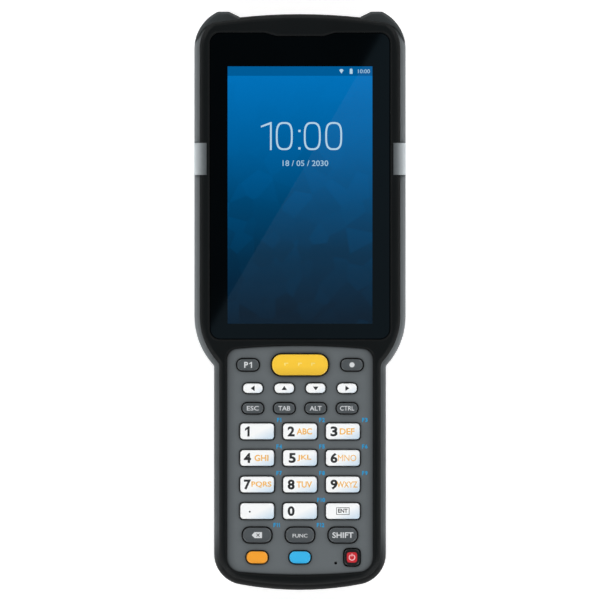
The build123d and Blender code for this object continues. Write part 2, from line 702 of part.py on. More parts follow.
def bumper_face():
    """Plan of the right-hand horn and the strip of wall it is let into, past the bumper's end."""
    shoulder = (HEAD_X - SHOULDER_RADIUS, TIP_Y - SHOULDER_DROP)
    start = (HEAD_X, shoulder[1])
    tip = (shoulder[0] + math.sqrt(SHOULDER_RADIUS ** 2 - SHOULDER_DROP ** 2), TIP_Y)
    flat = (HEAD_X - BUMPER_FLAT_INSET, TIP_Y)
    flank = (BUMPER_START, TOP_Y - BUMPER_FLANK_DROP)
    horn = make_face(
        Curve()
        + [
            arc(shoulder, start, tip),
            Polyline(tip, flat, flank, (BUMPER_START, shoulder[1]), start),
        ]
    )
    horn = fillet(horn.vertices().sort_by(Axis.Y)[-2:], BUMPER_FILLET)
    width, height = HEAD_X - BUMPER_START, SHOULDER_DROP
    corner = Pos(BUMPER_START + width / 2, TIP_Y - height / 2) * Rectangle(width, height)
    return ((outline() + horn) & corner) - outline(BUMPER_DEPTH)


def bumper_solid():
    """The right-hand corner bumper, with bevelled outer edges and a slanting end."""
    strip = prism(bumper_face(), BUMPER_Z, PARTING_Z)
    inner = outline(BUMPER_DEPTH)
    levels = strip.edges().group_by(Axis.Z)
    outer = [
        edge
        for edge in levels[0] + levels[-1]
        if edge.center().X > BUMPER_START + FIT_GAP
        and edge.center().Y > TIP_Y - SHOULDER_DROP + FIT_GAP
        and inner.distance_to(Vertex(edge.center().X, edge.center().Y, 0)) > FIT_GAP
    ]
    return chamfer(outer, BUMPER_EDGE) & prism(bumper_corner(), 0, FRONT_Z)


def rear_housing():
    """Rear housing, one moulding with its soft outer skin."""
    body = housing_shell() - electronics_space()
    inner = inner_supports() & prism(outline(SIDE_WALL / 2), 0, PARTING_Z)
    body += inner - behind_back(BACK_WALL / 2)
    body -= battery_bay()
    for y in STRAP_BARS:
        body -= strap_pocket(y)
        body -= strap_bar(y, BAR_GAP)
    body -= window_opening()
    body -= seal_groove()
    for x, y in SCREW_PLACES:
        body -= drum(x, y, COUNTERBORE, -CUT, SCREW_SEAT_Z)
        body -= drum(x, y, SCREW_HOLE, SCREW_SEAT_Z - CUT, CHASSIS_Z + CUT)
    body -= mirrored(pipe_notch())
    body -= mirrored(button_hole(TRIGGER_Y, TRIGGER_LENGTH, BUTTON_GAP))
    body -= mirror(button_hole(TALK_Y, TALK_LENGTH, BUTTON_GAP), Plane.YZ)
    body -= mirror(button_hole(VOLUME_Y, VOLUME_LENGTH, ROCKER_GAP), Plane.YZ)
    for i in range(SLOT_COUNT):
        x = (i - (SLOT_COUNT - 1) / 2) * SLOT_PITCH
        half = SLOT_WIDTH / 2
        reach_y = SLOT_LENGTH / 2
        body -= block(x - half, x + half, SPEAKER_Y - reach_y, SPEAKER_Y + reach_y, -CUT, BACK_WALL + CUT)
    body -= contact_block(CONTACT_GAP)
    body -= dock_nose(DOCK_GAP)
    recess = prism(bumper_corner() - outline(BUMPER_DEPTH), BUMPER_Z, PARTING_Z + CUT)
    body -= mirrored(recess)
    return body


# ---- Front housing --------------------------------------------------------------------
def module_opening(grow=0.0):
    """Plan of the display module, also of the opening in the front frame behind the glass."""
    foot = MODULE_FOOT_Y - grow
    head = MODULE_FOOT_Y + SCREEN_HEIGHT + MODULE_FOOT_BORDER + MODULE_BORDER + grow
    half = MODULE_HALF + grow
    return Pos(0, (foot + head) / 2) * RectangleRounded(2 * half, head - foot, MODULE_CORNER)


def opening_bevel(face, gap):
    """What a bevel takes off round an opening in the face of the frame."""
    lower = Pos(0, 0, FRONT_Z - OPENING_BEVEL) * face(gap)
    upper = Pos(0, 0, FRONT_Z + OPENING_BEVEL) * face(gap + 2 * OPENING_BEVEL)
    return loft([lower, upper], ruled=True)


def tongues():
    """Tongues that reach down inside the straight walls of the head and the grip."""
    head = (HEAD_X, NECK_Y + TONGUE_END, TIP_Y - SHOULDER_DROP - TONGUE_END)
    grip = (GRIP_X, FOOT_Y + 2 * FOOT_CORNER_RADIUS, NECK_Y - NECK_RADIUS)
    parts = []
    for half, y0, y1 in (head, grip):
        outer = half - SIDE_WALL - TONGUE_GAP
        parts += mirrored(block(outer - TONGUE_WIDTH, outer, y0, y1, PARTING_Z - TONGUE_DEPTH, PARTING_Z))
    return parts


def front_housing():
    """Front frame round the glass and the keypad, with its tongue and screw bosses."""
    shoulder_z = FRONT_Z - FRAME_ROUND
    frame = prism(outline(BAND, TOP_BAND), PARTING_Z, shoulder_z)
    frame += rounded_edge(BAND, TOP_BAND, shoulder_z, FRAME_ROUND, FRAME_ROUND, FRAME_ROUND)
    frame += tongues()
    frame += [drum(x, y, FRONT_BOSS, CHASSIS_Z, GLASS_Z - BOSS_TOP) for x, y in SCREW_PLACES]
    frame -= prism(glass_face(GLASS_GAP), GLASS_Z - FIT_GAP, FRONT_Z + CUT)
    frame -= prism(module_opening(MODULE_GAP), PARTING_Z - CUT, FRONT_Z)
    frame -= prism(pad_face(PAD_GAP), PAD_Z, FRONT_Z + CUT)
    frame -= prism(pad_face(-PAD_LEDGE), PARTING_Z - CUT, FRONT_Z)
    frame -= opening_bevel(glass_face, GLASS_GAP)
    frame -= opening_bevel(pad_face, PAD_GAP)
    for x, y in SCREW_PLACES:
        frame -= drum(x, y, SCREW_BITE, CHASSIS_Z - CUT, CHASSIS_Z + SCREW_REACH + SCREW_END)
    frame -= mirrored(pipe_notch())
    return frame


def display_glass():
    """Cover glass."""
    body = prism(glass_face(), GLASS_Z, GLASS_TOP_Z)
    return chamfer(body.edges().group_by(Axis.Z)[-1], GLASS_BEVEL)


def display_module():
    """Screen and touch panel, bonded under the glass."""
    return prism(module_opening(), GLASS_Z - MODULE_THICKNESS, GLASS_Z)


# ---- Keypad ---------------------------------------------------------------------------
def keypad_plate():
    """Plate with a hole for every key and one for the microphone."""
    holes = Sketch() + [key_face(key, KEY_GAP) for key in KEYS.values()]
    holes += Pos(MIC_X, PAD_TOP_Y - MIC_DROP) * Circle(MIC_RADIUS)
    return prism(pad_face() - holes, PAD_Z, PAD_TOP_Z)


def boss_notches(z0, z1):
    """Square notches round the front bosses, for the chassis, the mat and the keypad board."""
    half = FRONT_BOSS + BOSS_GAP
    return [block(x - half, x + half, y - half, y + half, z0, z1) for x, y in SCREW_PLACES]


def key_cap(name):
    """One hard key cap."""
    proud = SCAN_KEY_PROUD if name == "scan" else KEY_PROUD
    return prism(key_face(KEYS[name]), KEY_Z, PAD_TOP_Z + proud)


def keypad_mat():
    """Silicone mat: a sheet with a clamped rim at each side and a tapered pillar under every key."""
    mat = prism(pad_face(-MAT_INSET), MAT_Z, MAT_TOP_Z)
    half = PAD_WIDTH / 2 - MAT_INSET
    ends = PAD_FOOT_Y + 3 * PAD_FOOT_CORNER, PAD_TOP_Y - 2 * PAD_TOP_CORNER
    mat += mirrored(block(half - MAT_RIM, half, *ends, KEY_BOARD_TOP_Z, PAD_Z))
    for x, y, width, height, _ in KEYS.values():
        foot = Pos(x, y, MAT_TOP_Z) * Rectangle(width * PILLAR_SHARE, height * PILLAR_SHARE)
        mat += extrude(foot, PILLAR_HEIGHT, taper=PILLAR_TAPER, dir=(0, 0, 1))
    return mat - boss_notches(KEY_BOARD_TOP_Z - CUT, PAD_Z + CUT)


def keypad_board():
    """Circuit board under the mat."""
    board = prism(pad_face(-MAT_INSET), KEY_BOARD_Z, KEY_BOARD_TOP_Z)
    return board - boss_notches(KEY_BOARD_Z - CUT, PAD_Z)


def snap_domes():
    """Snap domes on the keypad board, one under every key."""
    domes = []
    for x, y, *_ in KEYS.values():
        foot = Pos(x, y, KEY_BOARD_TOP_Z) * RegularPolygon(DOME_RADIUS, DOME_SIDES)
        domes.append(extrude(foot, DOME_HEIGHT, taper=DOME_SLOPE, dir=(0, 0, 1)))
    return Compound(children=domes)


# ---- Inside ---------------------------------------------------------------------------
def housing_seal():
    """Silicone ring in the rim's groove."""
    ring = outline(SEAL_INSET + FIT_GAP) - outline(SEAL_INSET + SEAL_WIDTH - FIT_GAP)
    return prism(ring, PARTING_Z - SEAL_DEPTH, PARTING_Z)


def inner_chassis():
    """Cast chassis plate on the rear bosses, with ribs under the screen and the keypad board."""
    plate = prism(outline(SIDE_WALL + CHASSIS_GAP), CHASSIS_Z, CHASSIS_TOP_Z)
    half = MODULE_HALF - SCREEN_RIB_INSET
    foot = MODULE_FOOT_Y + SCREEN_RIB_INSET
    head = foot + SCREEN_HEIGHT
    top = GLASS_Z - MODULE_THICKNESS - SCREEN_GAP
    plate += block(-half, half, foot, foot + CHASSIS_RIB, CHASSIS_TOP_Z, top)
    plate += block(-half, half, head - CHASSIS_RIB, head, CHASSIS_TOP_Z, top)
    plate += mirrored(block(half - CHASSIS_RIB, half, foot, head, CHASSIS_TOP_Z, top))
    side = PAD_WIDTH / 2 - 2 * MAT_INSET
    ends = PAD_FOOT_Y + 2 * PAD_FOOT_CORNER, PAD_TOP_Y - 2 * PAD_TOP_CORNER
    plate += mirrored(block(side - CHASSIS_RIB, side, *ends, CHASSIS_TOP_Z, KEY_BOARD_Z))
    return plate - boss_notches(CHASSIS_Z - CUT, top)


def main_board():
    """Main circuit board on its posts, cut out round any screw boss beside it."""
    top = MAIN_BOARD_Z + BOARD_THICKNESS
    board = block(-BOARD_HALF, BOARD_HALF, MAIN_FOOT_Y, MAIN_HEAD_Y, MAIN_BOARD_Z, top)
    return board - [drum(x, y, REAR_BOSS + BOSS_GAP, MAIN_BOARD_Z - CUT, top + CUT) for x, y in SCREW_PLACES]


def shield_cans():
    """Shield cans on the main board."""
    z = MAIN_BOARD_Z + BOARD_THICKNESS
    cans = []
    for share, width, length in CANS:
        y = MAIN_FOOT_Y + share * (MAIN_HEAD_Y - MAIN_FOOT_Y)
        cans.append(block(-width / 2, width / 2, y - length / 2, y + length / 2, z, z + CAN_HEIGHT))
    return Compound(children=cans)


def contact_block(grow=0.0):
    """Battery connector under the main board, through the tray."""
    y = BATTERY_HEAD_Y - CONTACT_INSET
    half = CONTACT_WIDTH / 2 + grow
    return block(-half, half, y - CONTACT_LENGTH - grow, y + grow, BAY_TOP_Z - grow, MAIN_BOARD_Z + grow)


def battery_contacts():
    """The connector, slotted between its blades."""
    width, depth = BLADE_SLOT
    y = BATTERY_HEAD_Y - CONTACT_INSET
    body = contact_block()
    for i in range(BLADES):
        x = (i - (BLADES - 1) / 2) * CONTACT_WIDTH / (BLADES + 1) - width / 2
        body -= block(x, x + width, y - CONTACT_LENGTH - CUT, y + CUT, BAY_TOP_Z - CUT, BAY_TOP_Z + depth)
    return body


def dock_nose(grow=0.0):
    """Nose of the dock connector, in the foot's wall."""
    section = Plane.XZ * RectangleRounded(DOCK_WIDTH + 2 * grow, DOCK_HEIGHT + 2 * grow, DOCK_CORNER)
    front = FOOT_Y - CUT if grow else FOOT_Y + DOCK_RECESS
    back = FOOT_Y + 2 * SIDE_WALL
    return Pos(0, back, DOCK_Z) * extrude(section, back - front, dir=(0, -1, 0))


def dock_connector():
    """Dock connector: a nose in the wall, a flange behind it and slots for the contacts."""
    half = DOCK_WIDTH / 2 + DOCK_FLANGE
    height = DOCK_HEIGHT / 2 + DOCK_FLANGE
    flange = block(-half, half, FOOT_Y, FOOT_Y + SIDE_WALL + DOCK_DEPTH, DOCK_Z - height, DOCK_Z + height)
    body = dock_nose() + (flange & prism(outline(SIDE_WALL + FIT_GAP), 0, PARTING_Z))
    pitch = (DOCK_WIDTH - 2 * DOCK_MARGIN) / DOCK_CONTACTS
    half, reach_z, depth = DOCK_SLOT[0] / 2, DOCK_SLOT[1] / 2, DOCK_RECESS + DOCK_SLOT[2]
    for i in range(DOCK_CONTACTS):
        x = (i - (DOCK_CONTACTS - 1) / 2) * pitch
        body -= block(x - half, x + half, FOOT_Y, FOOT_Y + depth, DOCK_Z - reach_z, DOCK_Z + reach_z)
    return body


def loudspeaker():
    """Loudspeaker on the inside of the back, over its slots."""
    x = SPEAKER_WIDTH / 2
    y = SPEAKER_LENGTH / 2
    return block(-x, x, SPEAKER_Y - y, SPEAKER_Y + y, BACK_WALL, BACK_WALL + SPEAKER_HEIGHT)


def vibration_motor():
    """Coin motor stuck to the inside of the back."""
    return drum(MOTOR_X, SPEAKER_Y + MOTOR_RISE, MOTOR_RADIUS, BACK_WALL, BACK_WALL + MOTOR_HEIGHT)


def scan_engine():
    """Imager: a block with two lens barrels that look out of the window."""
    z0 = BACK_WALL + BRACKET_HEIGHT
    half = ENGINE_WIDTH / 2
    body = block(-half, half, ENGINE_HEAD_Y - ENGINE_LENGTH, ENGINE_HEAD_Y, z0, z0 + ENGINE_HEIGHT)
    for x, radius in BARRELS:
        barrel = Rot(90, 0, 0) * Cylinder(radius, BARREL_LENGTH)
        body += Pos(x, ENGINE_HEAD_Y + BARREL_LENGTH / 2, z0 + ENGINE_HEIGHT / 2) * barrel
    return body


def scan_bracket():
    """Sheet bracket that stands on the back and carries the imager."""
    half = ENGINE_WIDTH / 2 + BRACKET_MARGIN
    top = BACK_WALL + BRACKET_HEIGHT
    head_y = ENGINE_HEAD_Y - BRACKET_SETBACK
    foot_y = head_y - ENGINE_LENGTH
    body = block(-half, half, foot_y, head_y, BACK_WALL, top)
    hollow = half - BRACKET_SHEET
    body -= block(-hollow, hollow, foot_y - CUT, head_y + CUT, BACK_WALL, top - BRACKET_SHEET)
    middle = (foot_y + head_y) / 2
    reach_y = BRACKET_EAR / 2
    ear = block(
        hollow, half + BRACKET_EAR, middle - reach_y, middle + reach_y, BACK_WALL, BACK_WALL + BRACKET_SHEET
    )
    return body + mirrored(ear)


def scan_window():
    """Curved window behind the lip of its opening."""
    ring = outline(WINDOW_INSET) - outline(WINDOW_INSET + WINDOW_THICKNESS)
    return prism(ring, 0, PARTING_Z) & window_block(WINDOW_LIP - WINDOW_GAP)


def corner_bumpers():
    """Rubber bumpers on the two top corners."""
    return Compound(children=mirrored(bumper_solid()))


def status_light_pipes():
    """Frosted light pipes on both edges of the head."""
    y = TOP_Y - PIPE_DROP + PIPE_LENGTH / 2
    pipe = Pos(0, y) * extrude(pipe_section(), PIPE_LENGTH, dir=(0, -1, 0))
    return Compound(children=mirrored(pipe))


# ---- Side buttons and battery ---------------------------------------------------------
def side_button(y, length, setback):
    """A right-hand side button: flush face, and a flange behind the wall."""
    back = INNER_X - setback - BUTTON_FLANGE
    stem = Pos(back, y, BUTTON_Z) * extrude(button_section(length, 0), HEAD_X - back, dir=(1, 0, 0))
    reach_y = length / 2 + BUTTON_FLANGE
    reach_z = BUTTON_HEIGHT / 2 + BUTTON_FLANGE
    return stem + block(
        back, back + BUTTON_FLANGE, y - reach_y, y + reach_y, BUTTON_Z - reach_z, BUTTON_Z + reach_z
    )


def side_switch_boards():
    """Board with its switches on each side of the head."""
    boards = []
    for side, length, middle in switch_boards():
        board = switch_board_plate(length, middle)
        x = INNER_X - SWITCH_SETBACK
        half = SWITCH_SIZE / 2
        others = [] if side > 0 else [TALK_Y, VOLUME_Y - ROCKER_ARM, VOLUME_Y + ROCKER_ARM]
        for y in [TRIGGER_Y, *others]:
            board += block(x, x + SWITCH_HEIGHT, y - half, y + half, BUTTON_Z - half, BUTTON_Z + half)
        boards.append(board if side > 0 else mirror(board, Plane.YZ))
    return Compound(children=boards)


def latch_space():
    """Notch in the battery for its right-hand latch."""
    half = BATTERY_WIDTH / 2
    reach_y = LATCH_WIDTH / 2 + LATCH_GAP
    inner = half - LATCH_DEPTH - LATCH_TRAVEL - LATCH_GAP
    top = GRIP_RELIEF + LATCH_HEIGHT + LATCH_GAP
    return block(inner, half + CUT, LATCH_Y - reach_y, LATCH_Y + reach_y, 0, top)


def battery_pack():
    """Battery, whose outer face is the back of the grip."""
    middle = BATTERY_FOOT_Y + BATTERY_LENGTH / 2
    plan = Pos(0, middle) * RectangleRounded(BATTERY_WIDTH, BATTERY_LENGTH, BATTERY_CORNER)
    body = prism(plan, GRIP_RELIEF, GRIP_RELIEF + BATTERY_HEIGHT)
    body = chamfer(body.edges().group_by(Axis.Z)[0], BATTERY_BEVEL)
    return body - mirrored(latch_space())


def battery_latch():
    """Right-hand latch: a ridged finger block with a hook in the bay's groove."""
    half = BATTERY_WIDTH / 2
    z = GRIP_RELIEF
    top = z + LATCH_HEIGHT
    reach_y = LATCH_WIDTH / 2
    body = block(half - LATCH_DEPTH, half, LATCH_Y - reach_y, LATCH_Y + reach_y, z, top)
    reach_y = HOOK_WIDTH / 2
    body += block(
        half - CUT, half + HOOK_REACH, LATCH_Y - reach_y, LATCH_Y + reach_y, top - HOOK_HEIGHT, top
    )
    width, depth = LATCH_GRIP
    for i in (-1, 0, 1):
        x = half - LATCH_DEPTH / 2 + (2 * i - 1 / 2) * width
        body -= block(x, x + width, LATCH_Y - LATCH_WIDTH, LATCH_Y + LATCH_WIDTH, 0, z + depth)
    return body


# ---- Fasteners ------------------------------------------------------------------------
def housing_screws():
    """Six long screws from the back."""
    screws = []
    for x, y in SCREW_PLACES:
        shank = drum(x, y, SCREW_RADIUS, SCREW_SEAT_Z, CHASSIS_Z + SCREW_REACH)
        head = drum(x, y, SCREW_HEAD_RADIUS, SCREW_SEAT_Z - SCREW_HEAD_HEIGHT, SCREW_SEAT_Z)
        screws.append(shank + head)
    return Compound(children=screws)


def strap_bars():
    """Steel bars for a hand strap."""
    return Compound(children=[strap_bar(y) for y in STRAP_BARS])


# ---- Write one file for each piece ----------------------------------------------------
PIECES = {
    "rear_housing": rear_housing(),
    "corner_bumpers": corner_bumpers(),
    "front_housing": front_housing(),
    "housing_seal": housing_seal(),
    "display_glass": display_glass(),
    "display_module": display_module(),
    "keypad_plate": keypad_plate(),
    "keypad_mat": keypad_mat(),
    "keypad_board": keypad_board(),
    "snap_domes": snap_domes(),
    "inner_chassis": inner_chassis(),
    "main_board": main_board(),
    "shield_cans": shield_cans(),
    "scan_window": scan_window(),
    "scan_engine": scan_engine(),
    "scan_bracket": scan_bracket(),
    "status_light_pipes": status_light_pipes(),
    "left_scan_trigger": mirror(side_button(TRIGGER_Y, TRIGGER_LENGTH, BUTTON_SETBACK), Plane.YZ),
    "right_scan_trigger": side_button(TRIGGER_Y, TRIGGER_LENGTH, BUTTON_SETBACK),
    "talk_button": mirror(side_button(TALK_Y, TALK_LENGTH, BUTTON_SETBACK), Plane.YZ),
    "volume_rocker": mirror(side_button(VOLUME_Y, VOLUME_LENGTH, ROCKER_SETBACK), Plane.YZ),
    "side_switch_boards": side_switch_boards(),
    "battery_pack": battery_pack(),
    "battery_latch_left": mirror(battery_latch(), Plane.YZ),
    "battery_latch_right": battery_latch(),
    "battery_contacts": battery_contacts(),
    "loudspeaker": loudspeaker(),
    "vibration_motor": vibration_motor(),
    "dock_connector": dock_connector(),
    "housing_screws": housing_screws(),
    "strap_bars": strap_bars(),
}
PIECES |= {f"key_{name}": key_cap(name) for name in KEYS}

os.makedirs("parts", exist_ok=True)
for node, shape in PIECES.items():
    export_step(shape, f"parts/{node}.step")
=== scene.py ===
# %% [markdown]
# # A handheld data terminal
#
# The terminal lies on its back on a white table, seen from straight above: a lit touch screen under
# one sheet of glass, and a phone-style keypad in the grip below it. The exact shapes come packed
# from the CAD model. This lesson gives each of them a finish, and makes what a printer, a painter
# or a soft mould adds on the real thing: rounded key caps, printed signs and the picture on the
# screen.

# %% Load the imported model
import math

import bmesh
import bpy
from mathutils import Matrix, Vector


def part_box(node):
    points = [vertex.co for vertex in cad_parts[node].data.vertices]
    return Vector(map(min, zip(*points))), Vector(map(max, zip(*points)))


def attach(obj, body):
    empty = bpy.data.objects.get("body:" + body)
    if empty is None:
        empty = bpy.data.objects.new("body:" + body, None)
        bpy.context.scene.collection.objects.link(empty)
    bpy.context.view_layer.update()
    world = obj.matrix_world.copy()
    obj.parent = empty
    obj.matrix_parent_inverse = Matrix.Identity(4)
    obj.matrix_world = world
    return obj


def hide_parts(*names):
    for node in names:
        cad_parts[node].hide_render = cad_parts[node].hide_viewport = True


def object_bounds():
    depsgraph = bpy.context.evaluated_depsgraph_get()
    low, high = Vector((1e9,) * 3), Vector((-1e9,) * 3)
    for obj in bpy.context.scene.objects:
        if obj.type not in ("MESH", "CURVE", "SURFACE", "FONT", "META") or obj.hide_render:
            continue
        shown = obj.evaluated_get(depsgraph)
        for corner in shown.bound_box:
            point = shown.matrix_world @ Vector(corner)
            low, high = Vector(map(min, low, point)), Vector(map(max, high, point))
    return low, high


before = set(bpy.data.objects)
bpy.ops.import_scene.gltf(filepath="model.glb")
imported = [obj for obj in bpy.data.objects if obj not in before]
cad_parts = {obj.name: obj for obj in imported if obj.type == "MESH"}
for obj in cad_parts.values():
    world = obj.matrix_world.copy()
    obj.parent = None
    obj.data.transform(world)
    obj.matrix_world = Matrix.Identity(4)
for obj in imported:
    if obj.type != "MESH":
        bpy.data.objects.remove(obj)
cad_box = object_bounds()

MM = 0.001
terminal_low, terminal_high = cad_box
sizes = [round((b - a) / MM, 1) for a, b in zip(terminal_low, terminal_high)]
print("the terminal measures", sizes, "mm")

# %% [markdown]
# ## One small class for shader maths
#
# A material in Blender is a graph of nodes. Wired by hand, a sum such as `0.4 + 0.2 * grain` takes
# six lines. `Wire` wraps one output socket and overloads Python's operators, so the same sum is
# written as it reads, and each operator adds its Math node. `Shader` is a graph under construction:
# its `node` method adds any other node, with its settings first and then its sockets.

# %% A socket that Python can calculate with
class Wire:
    """An output socket of a shader's graph."""

    def __init__(self, shader, socket):
        self.shader = shader
        self.socket = socket

    def maths(self, operation, first, second):
        sockets = {"Value": first, "Value_001": second}
        return self.shader.node("ShaderNodeMath", "Value", {"operation": operation}, sockets)

    def __add__(self, other):
        return self.maths("ADD", self, other)

    def __sub__(self, other):
        return self.maths("SUBTRACT", self, other)

    def __mul__(self, other):
        return self.maths("MULTIPLY", self, other)

    def __truediv__(self, other):
        return self.maths("DIVIDE", self, other)

    def __rsub__(self, other):
        return self.maths("SUBTRACT", other, self)

    __radd__ = __add__
    __rmul__ = __mul__

    def clamped(self):
        """The same value, held between 0 and 1."""
        return self.maths("MINIMUM", self.maths("MAXIMUM", self, 0.0), 1.0)

    def size(self):
        """The same value without its sign."""
        return self.maths("ABSOLUTE", self, 0.0)

    def below(self, limit):
        """1 where the value is below a limit, and 0 elsewhere."""
        return self.maths("LESS_THAN", self, limit)

    def past(self, start, width):
        """0 up to a start, and then a rise to 1 over a width."""
        return ((self - start) / width).clamped()


# %% A graph of nodes
class Shader:
    """A graph under construction."""

    def __init__(self, tree):
        self.tree = tree

    def node(self, kind, output, settings, sockets):
        """Adds a node and returns one of its outputs. The setting "stops" fills a colour ramp."""
        made = self.tree.nodes.new(kind)
        for name, value in settings.items():
            if name == "stops":
                self.fill_ramp(made.color_ramp, value)
            else:
                setattr(made, name, value)
        for socket in made.inputs:
            if socket.identifier in sockets:
                self.feed(socket, sockets[socket.identifier])
        found = [socket for socket in made.outputs if socket.identifier == output]
        return Wire(self, found[0])

    def fill_ramp(self, ramp, stops):
        while len(ramp.elements) < len(stops):
            ramp.elements.new(1.0)
        for element, (position, colour) in zip(ramp.elements, stops):
            element.position = position
            element.color = colour

    def feed(self, socket, value):
        """Links a wire to a socket, or sets the socket's own value."""
        if isinstance(value, Wire):
            self.tree.links.new(value.socket, socket)
        else:
            socket.default_value = value

    def mix(self, share, first, second):
        """A colour between two, by a share."""
        sockets = {"Factor_Float": share, "A_Color": first, "B_Color": second}
        return self.node("ShaderNodeMix", "Result_Color", {"data_type": "RGBA"}, sockets)

    def blend(self, share, first, second):
        """A surface between two, by a share."""
        sockets = {"Fac": share, "Shader": first, "Shader_001": second}
        return self.node("ShaderNodeMixShader", "Shader", {}, sockets)

    def upward(self, vector):
        """The Z of a vector: 1 straight up, and -1 straight down."""
        return self.node("ShaderNodeSeparateXYZ", "Z", {}, {"Vector": vector})

    def glowing(self, colour, strength):
        """A surface that only gives out light."""
        sockets = {"Color": colour, "Strength": strength}
        return self.node("ShaderNodeEmission", "Emission", {}, sockets)


# %% Colours
WHITE = (1.0, 1.0, 1.0, 1.0)
UNLIT = (0.0, 0.0, 0.0, 1.0)


def linear(red, green, blue):
    """A colour written as 0 to 255, as a paint chart gives it, in Blender's linear light."""
    shares = (red / 255, green / 255, blue / 255)
    curved = [s / 12.92 if s < 0.04045 else ((s + 0.055) / 1.055) ** 2.4 for s in shares]
    return (*curved, 1.0)


def toned(colour, share):
    """A colour made darker by a share below 1, or paler by one above it."""
    return tuple(min(1.0, c * share) for c in colour[:3]) + (1.0,)


print("a mid grey of 128 is", round(linear(128, 128, 128)[0], 3), "in linear light")


# %% A material under construction
class Finish(Shader):
    """A material with a Principled surface, whose steady sockets are set when it is made."""

    def __init__(self, name, **constants):
        self.material = bpy.data.materials.new(name)
        self.material.use_nodes = True
        super().__init__(self.material.node_tree)
        self.surface = self.tree.nodes["Principled BSDF"]
        for socket, value in constants.items():
            self.surface.inputs[socket.replace("_", " ")].default_value = value

    def give(self, **wires):
        """Feeds sockets of the surface itself, such as Base_Color."""
        for name, wire in wires.items():
            self.feed(self.surface.inputs[name.replace("_", " ")], wire)

    def show(self, shown):
        """Shows another surface than the Principled one."""
        self.feed(self.tree.nodes["Material Output"].inputs["Surface"], shown)

    def place(self):
        """Where a point is on the object, in metres."""
        return self.node("ShaderNodeTexCoord", "Object", {}, {})

    def along(self, axis):
        """One coordinate of a point, in millimetres."""
        return self.node("ShaderNodeSeparateXYZ", axis, {}, {"Vector": self.place()}) / MM

    def grain(self, size, detail=3.0):
        """Noise whose lumps are about a size in millimetres."""
        sockets = {"Vector": self.place(), "Scale": 1 / (size * MM), "Detail": detail}
        return self.node("ShaderNodeTexNoise", "Fac", {}, sockets)

    def facing_up(self):
        """1 where the surface faces straight up, 0 where it faces sideways, and -1 where down."""
        return self.upward(self.node("ShaderNodeNewGeometry", "Normal", {}, {}))

    def slope(self):
        """0 where the surface faces straight up or down, and 1 where it faces sideways."""
        return (1 - self.facing_up().size()).clamped()

    def openness(self, reach):
        """1 on open ground, and less in a corner or crevice within a reach in millimetres."""
        settings, sockets = {"samples": 8}, {"Distance": reach * MM}
        return self.node("ShaderNodeAmbientOcclusion", "AO", settings, sockets)

    def coated(self, colour, roughness, height, depth, edge=0.0):
        """Feeds a colour and a roughness, bumps the surface, and returns the finish.

        The height goes from 0 to 1, over a depth in millimetres. An edge radius, also in
        millimetres, softens sharp edges as a mould's polish does.
        """
        self.give(Base_Color=colour, Roughness=roughness)
        sockets = {"Height": height, "Distance": depth * MM, "Strength": 1.0}
        if edge:
            radius = {"Radius": edge * MM}
            sockets["Normal"] = self.node("ShaderNodeBevel", "Normal", {"samples": 4}, radius)
        self.give(Normal=self.node("ShaderNodeBump", "Normal", {}, sockets))
        return self


# %% [markdown]
# ## Moulded plastics
#
# Most of the terminal is moulded plastic with a fine spark-eroded grain. A plain colour would look
# like paint on a screen, so each plastic gets three things: a colour that wanders a little, a
# roughness that wanders with the grain, and a shallow bump. Sharp model edges also get the small
# radius that every mould has, by a Bevel node under the bump. The frame's steep outer faces are
# matt, because a gloss there would catch the room as a thin bright line.
#
# The CAD model names a material slot for each of its nodes. So each finish is kept under the name
# of the slot that it is for, in one table that grows from step to step.

# %% A moulded plastic
CLOUD_SIZE = 18.0
ROUGHNESS_SWING = 0.16


def moulded(name, colour, roughness, grain_mm, depth_mm, drift=0.12, edge=0.0, matt=0.0, **constants):
    """A plastic with a grain of its own, and a colour that drifts towards a darker one.

    Its steep faces are rougher than its top by the share called matt.
    """
    finish = Finish(name, **constants)
    fine = finish.grain(grain_mm)
    wide = finish.grain(CLOUD_SIZE, 2.0)
    wander = (wide * 0.7 + fine * 0.3).clamped()
    shade = finish.mix(wander, toned(colour, 1 - 2 * drift), toned(colour, 1 + drift))
    grainy = roughness - ROUGHNESS_SWING / 2 + ROUGHNESS_SWING * fine
    if matt:
        grainy = grainy + matt * finish.slope()
    return finish.coated(shade, grainy.clamped(), fine, depth_mm, edge)


# %% Plastics that need nothing more
FRAME_LOOK = {"edge": 0.35, "matt": 0.9, "Specular_IOR_Level": 0.16}
finish_of = {
    "black_frame": moulded("satin_black_frame", linear(17, 20, 21), 0.36, 0.35, 0.01, **FRAME_LOOK),
    "side_button": moulded("side_button_rubber", linear(44, 46, 48), 0.55, 0.5, 0.02, edge=0.5),
    "battery_shell": moulded("battery_shell", linear(40, 43, 45), 0.5, 0.45, 0.03, edge=0.4),
    "latch_plastic": moulded("battery_latch", linear(150, 153, 155), 0.45, 0.4, 0.012, edge=0.2),
    "contact_block": moulded("connector_black", linear(26, 26, 27), 0.5, 0.3, 0.008),
    "speaker_black": moulded("loudspeaker_case", linear(24, 24, 25), 0.6, 0.3, 0.01),
    "imager_black": moulded("imager_block", linear(20, 21, 23), 0.35, 0.2, 0.006),
    "bumper_rubber": moulded("corner_bumper_rubber", linear(47, 53, 55), 0.6, 0.5, 0.02, edge=0.5),
}
print("moulded:", *finish_of)
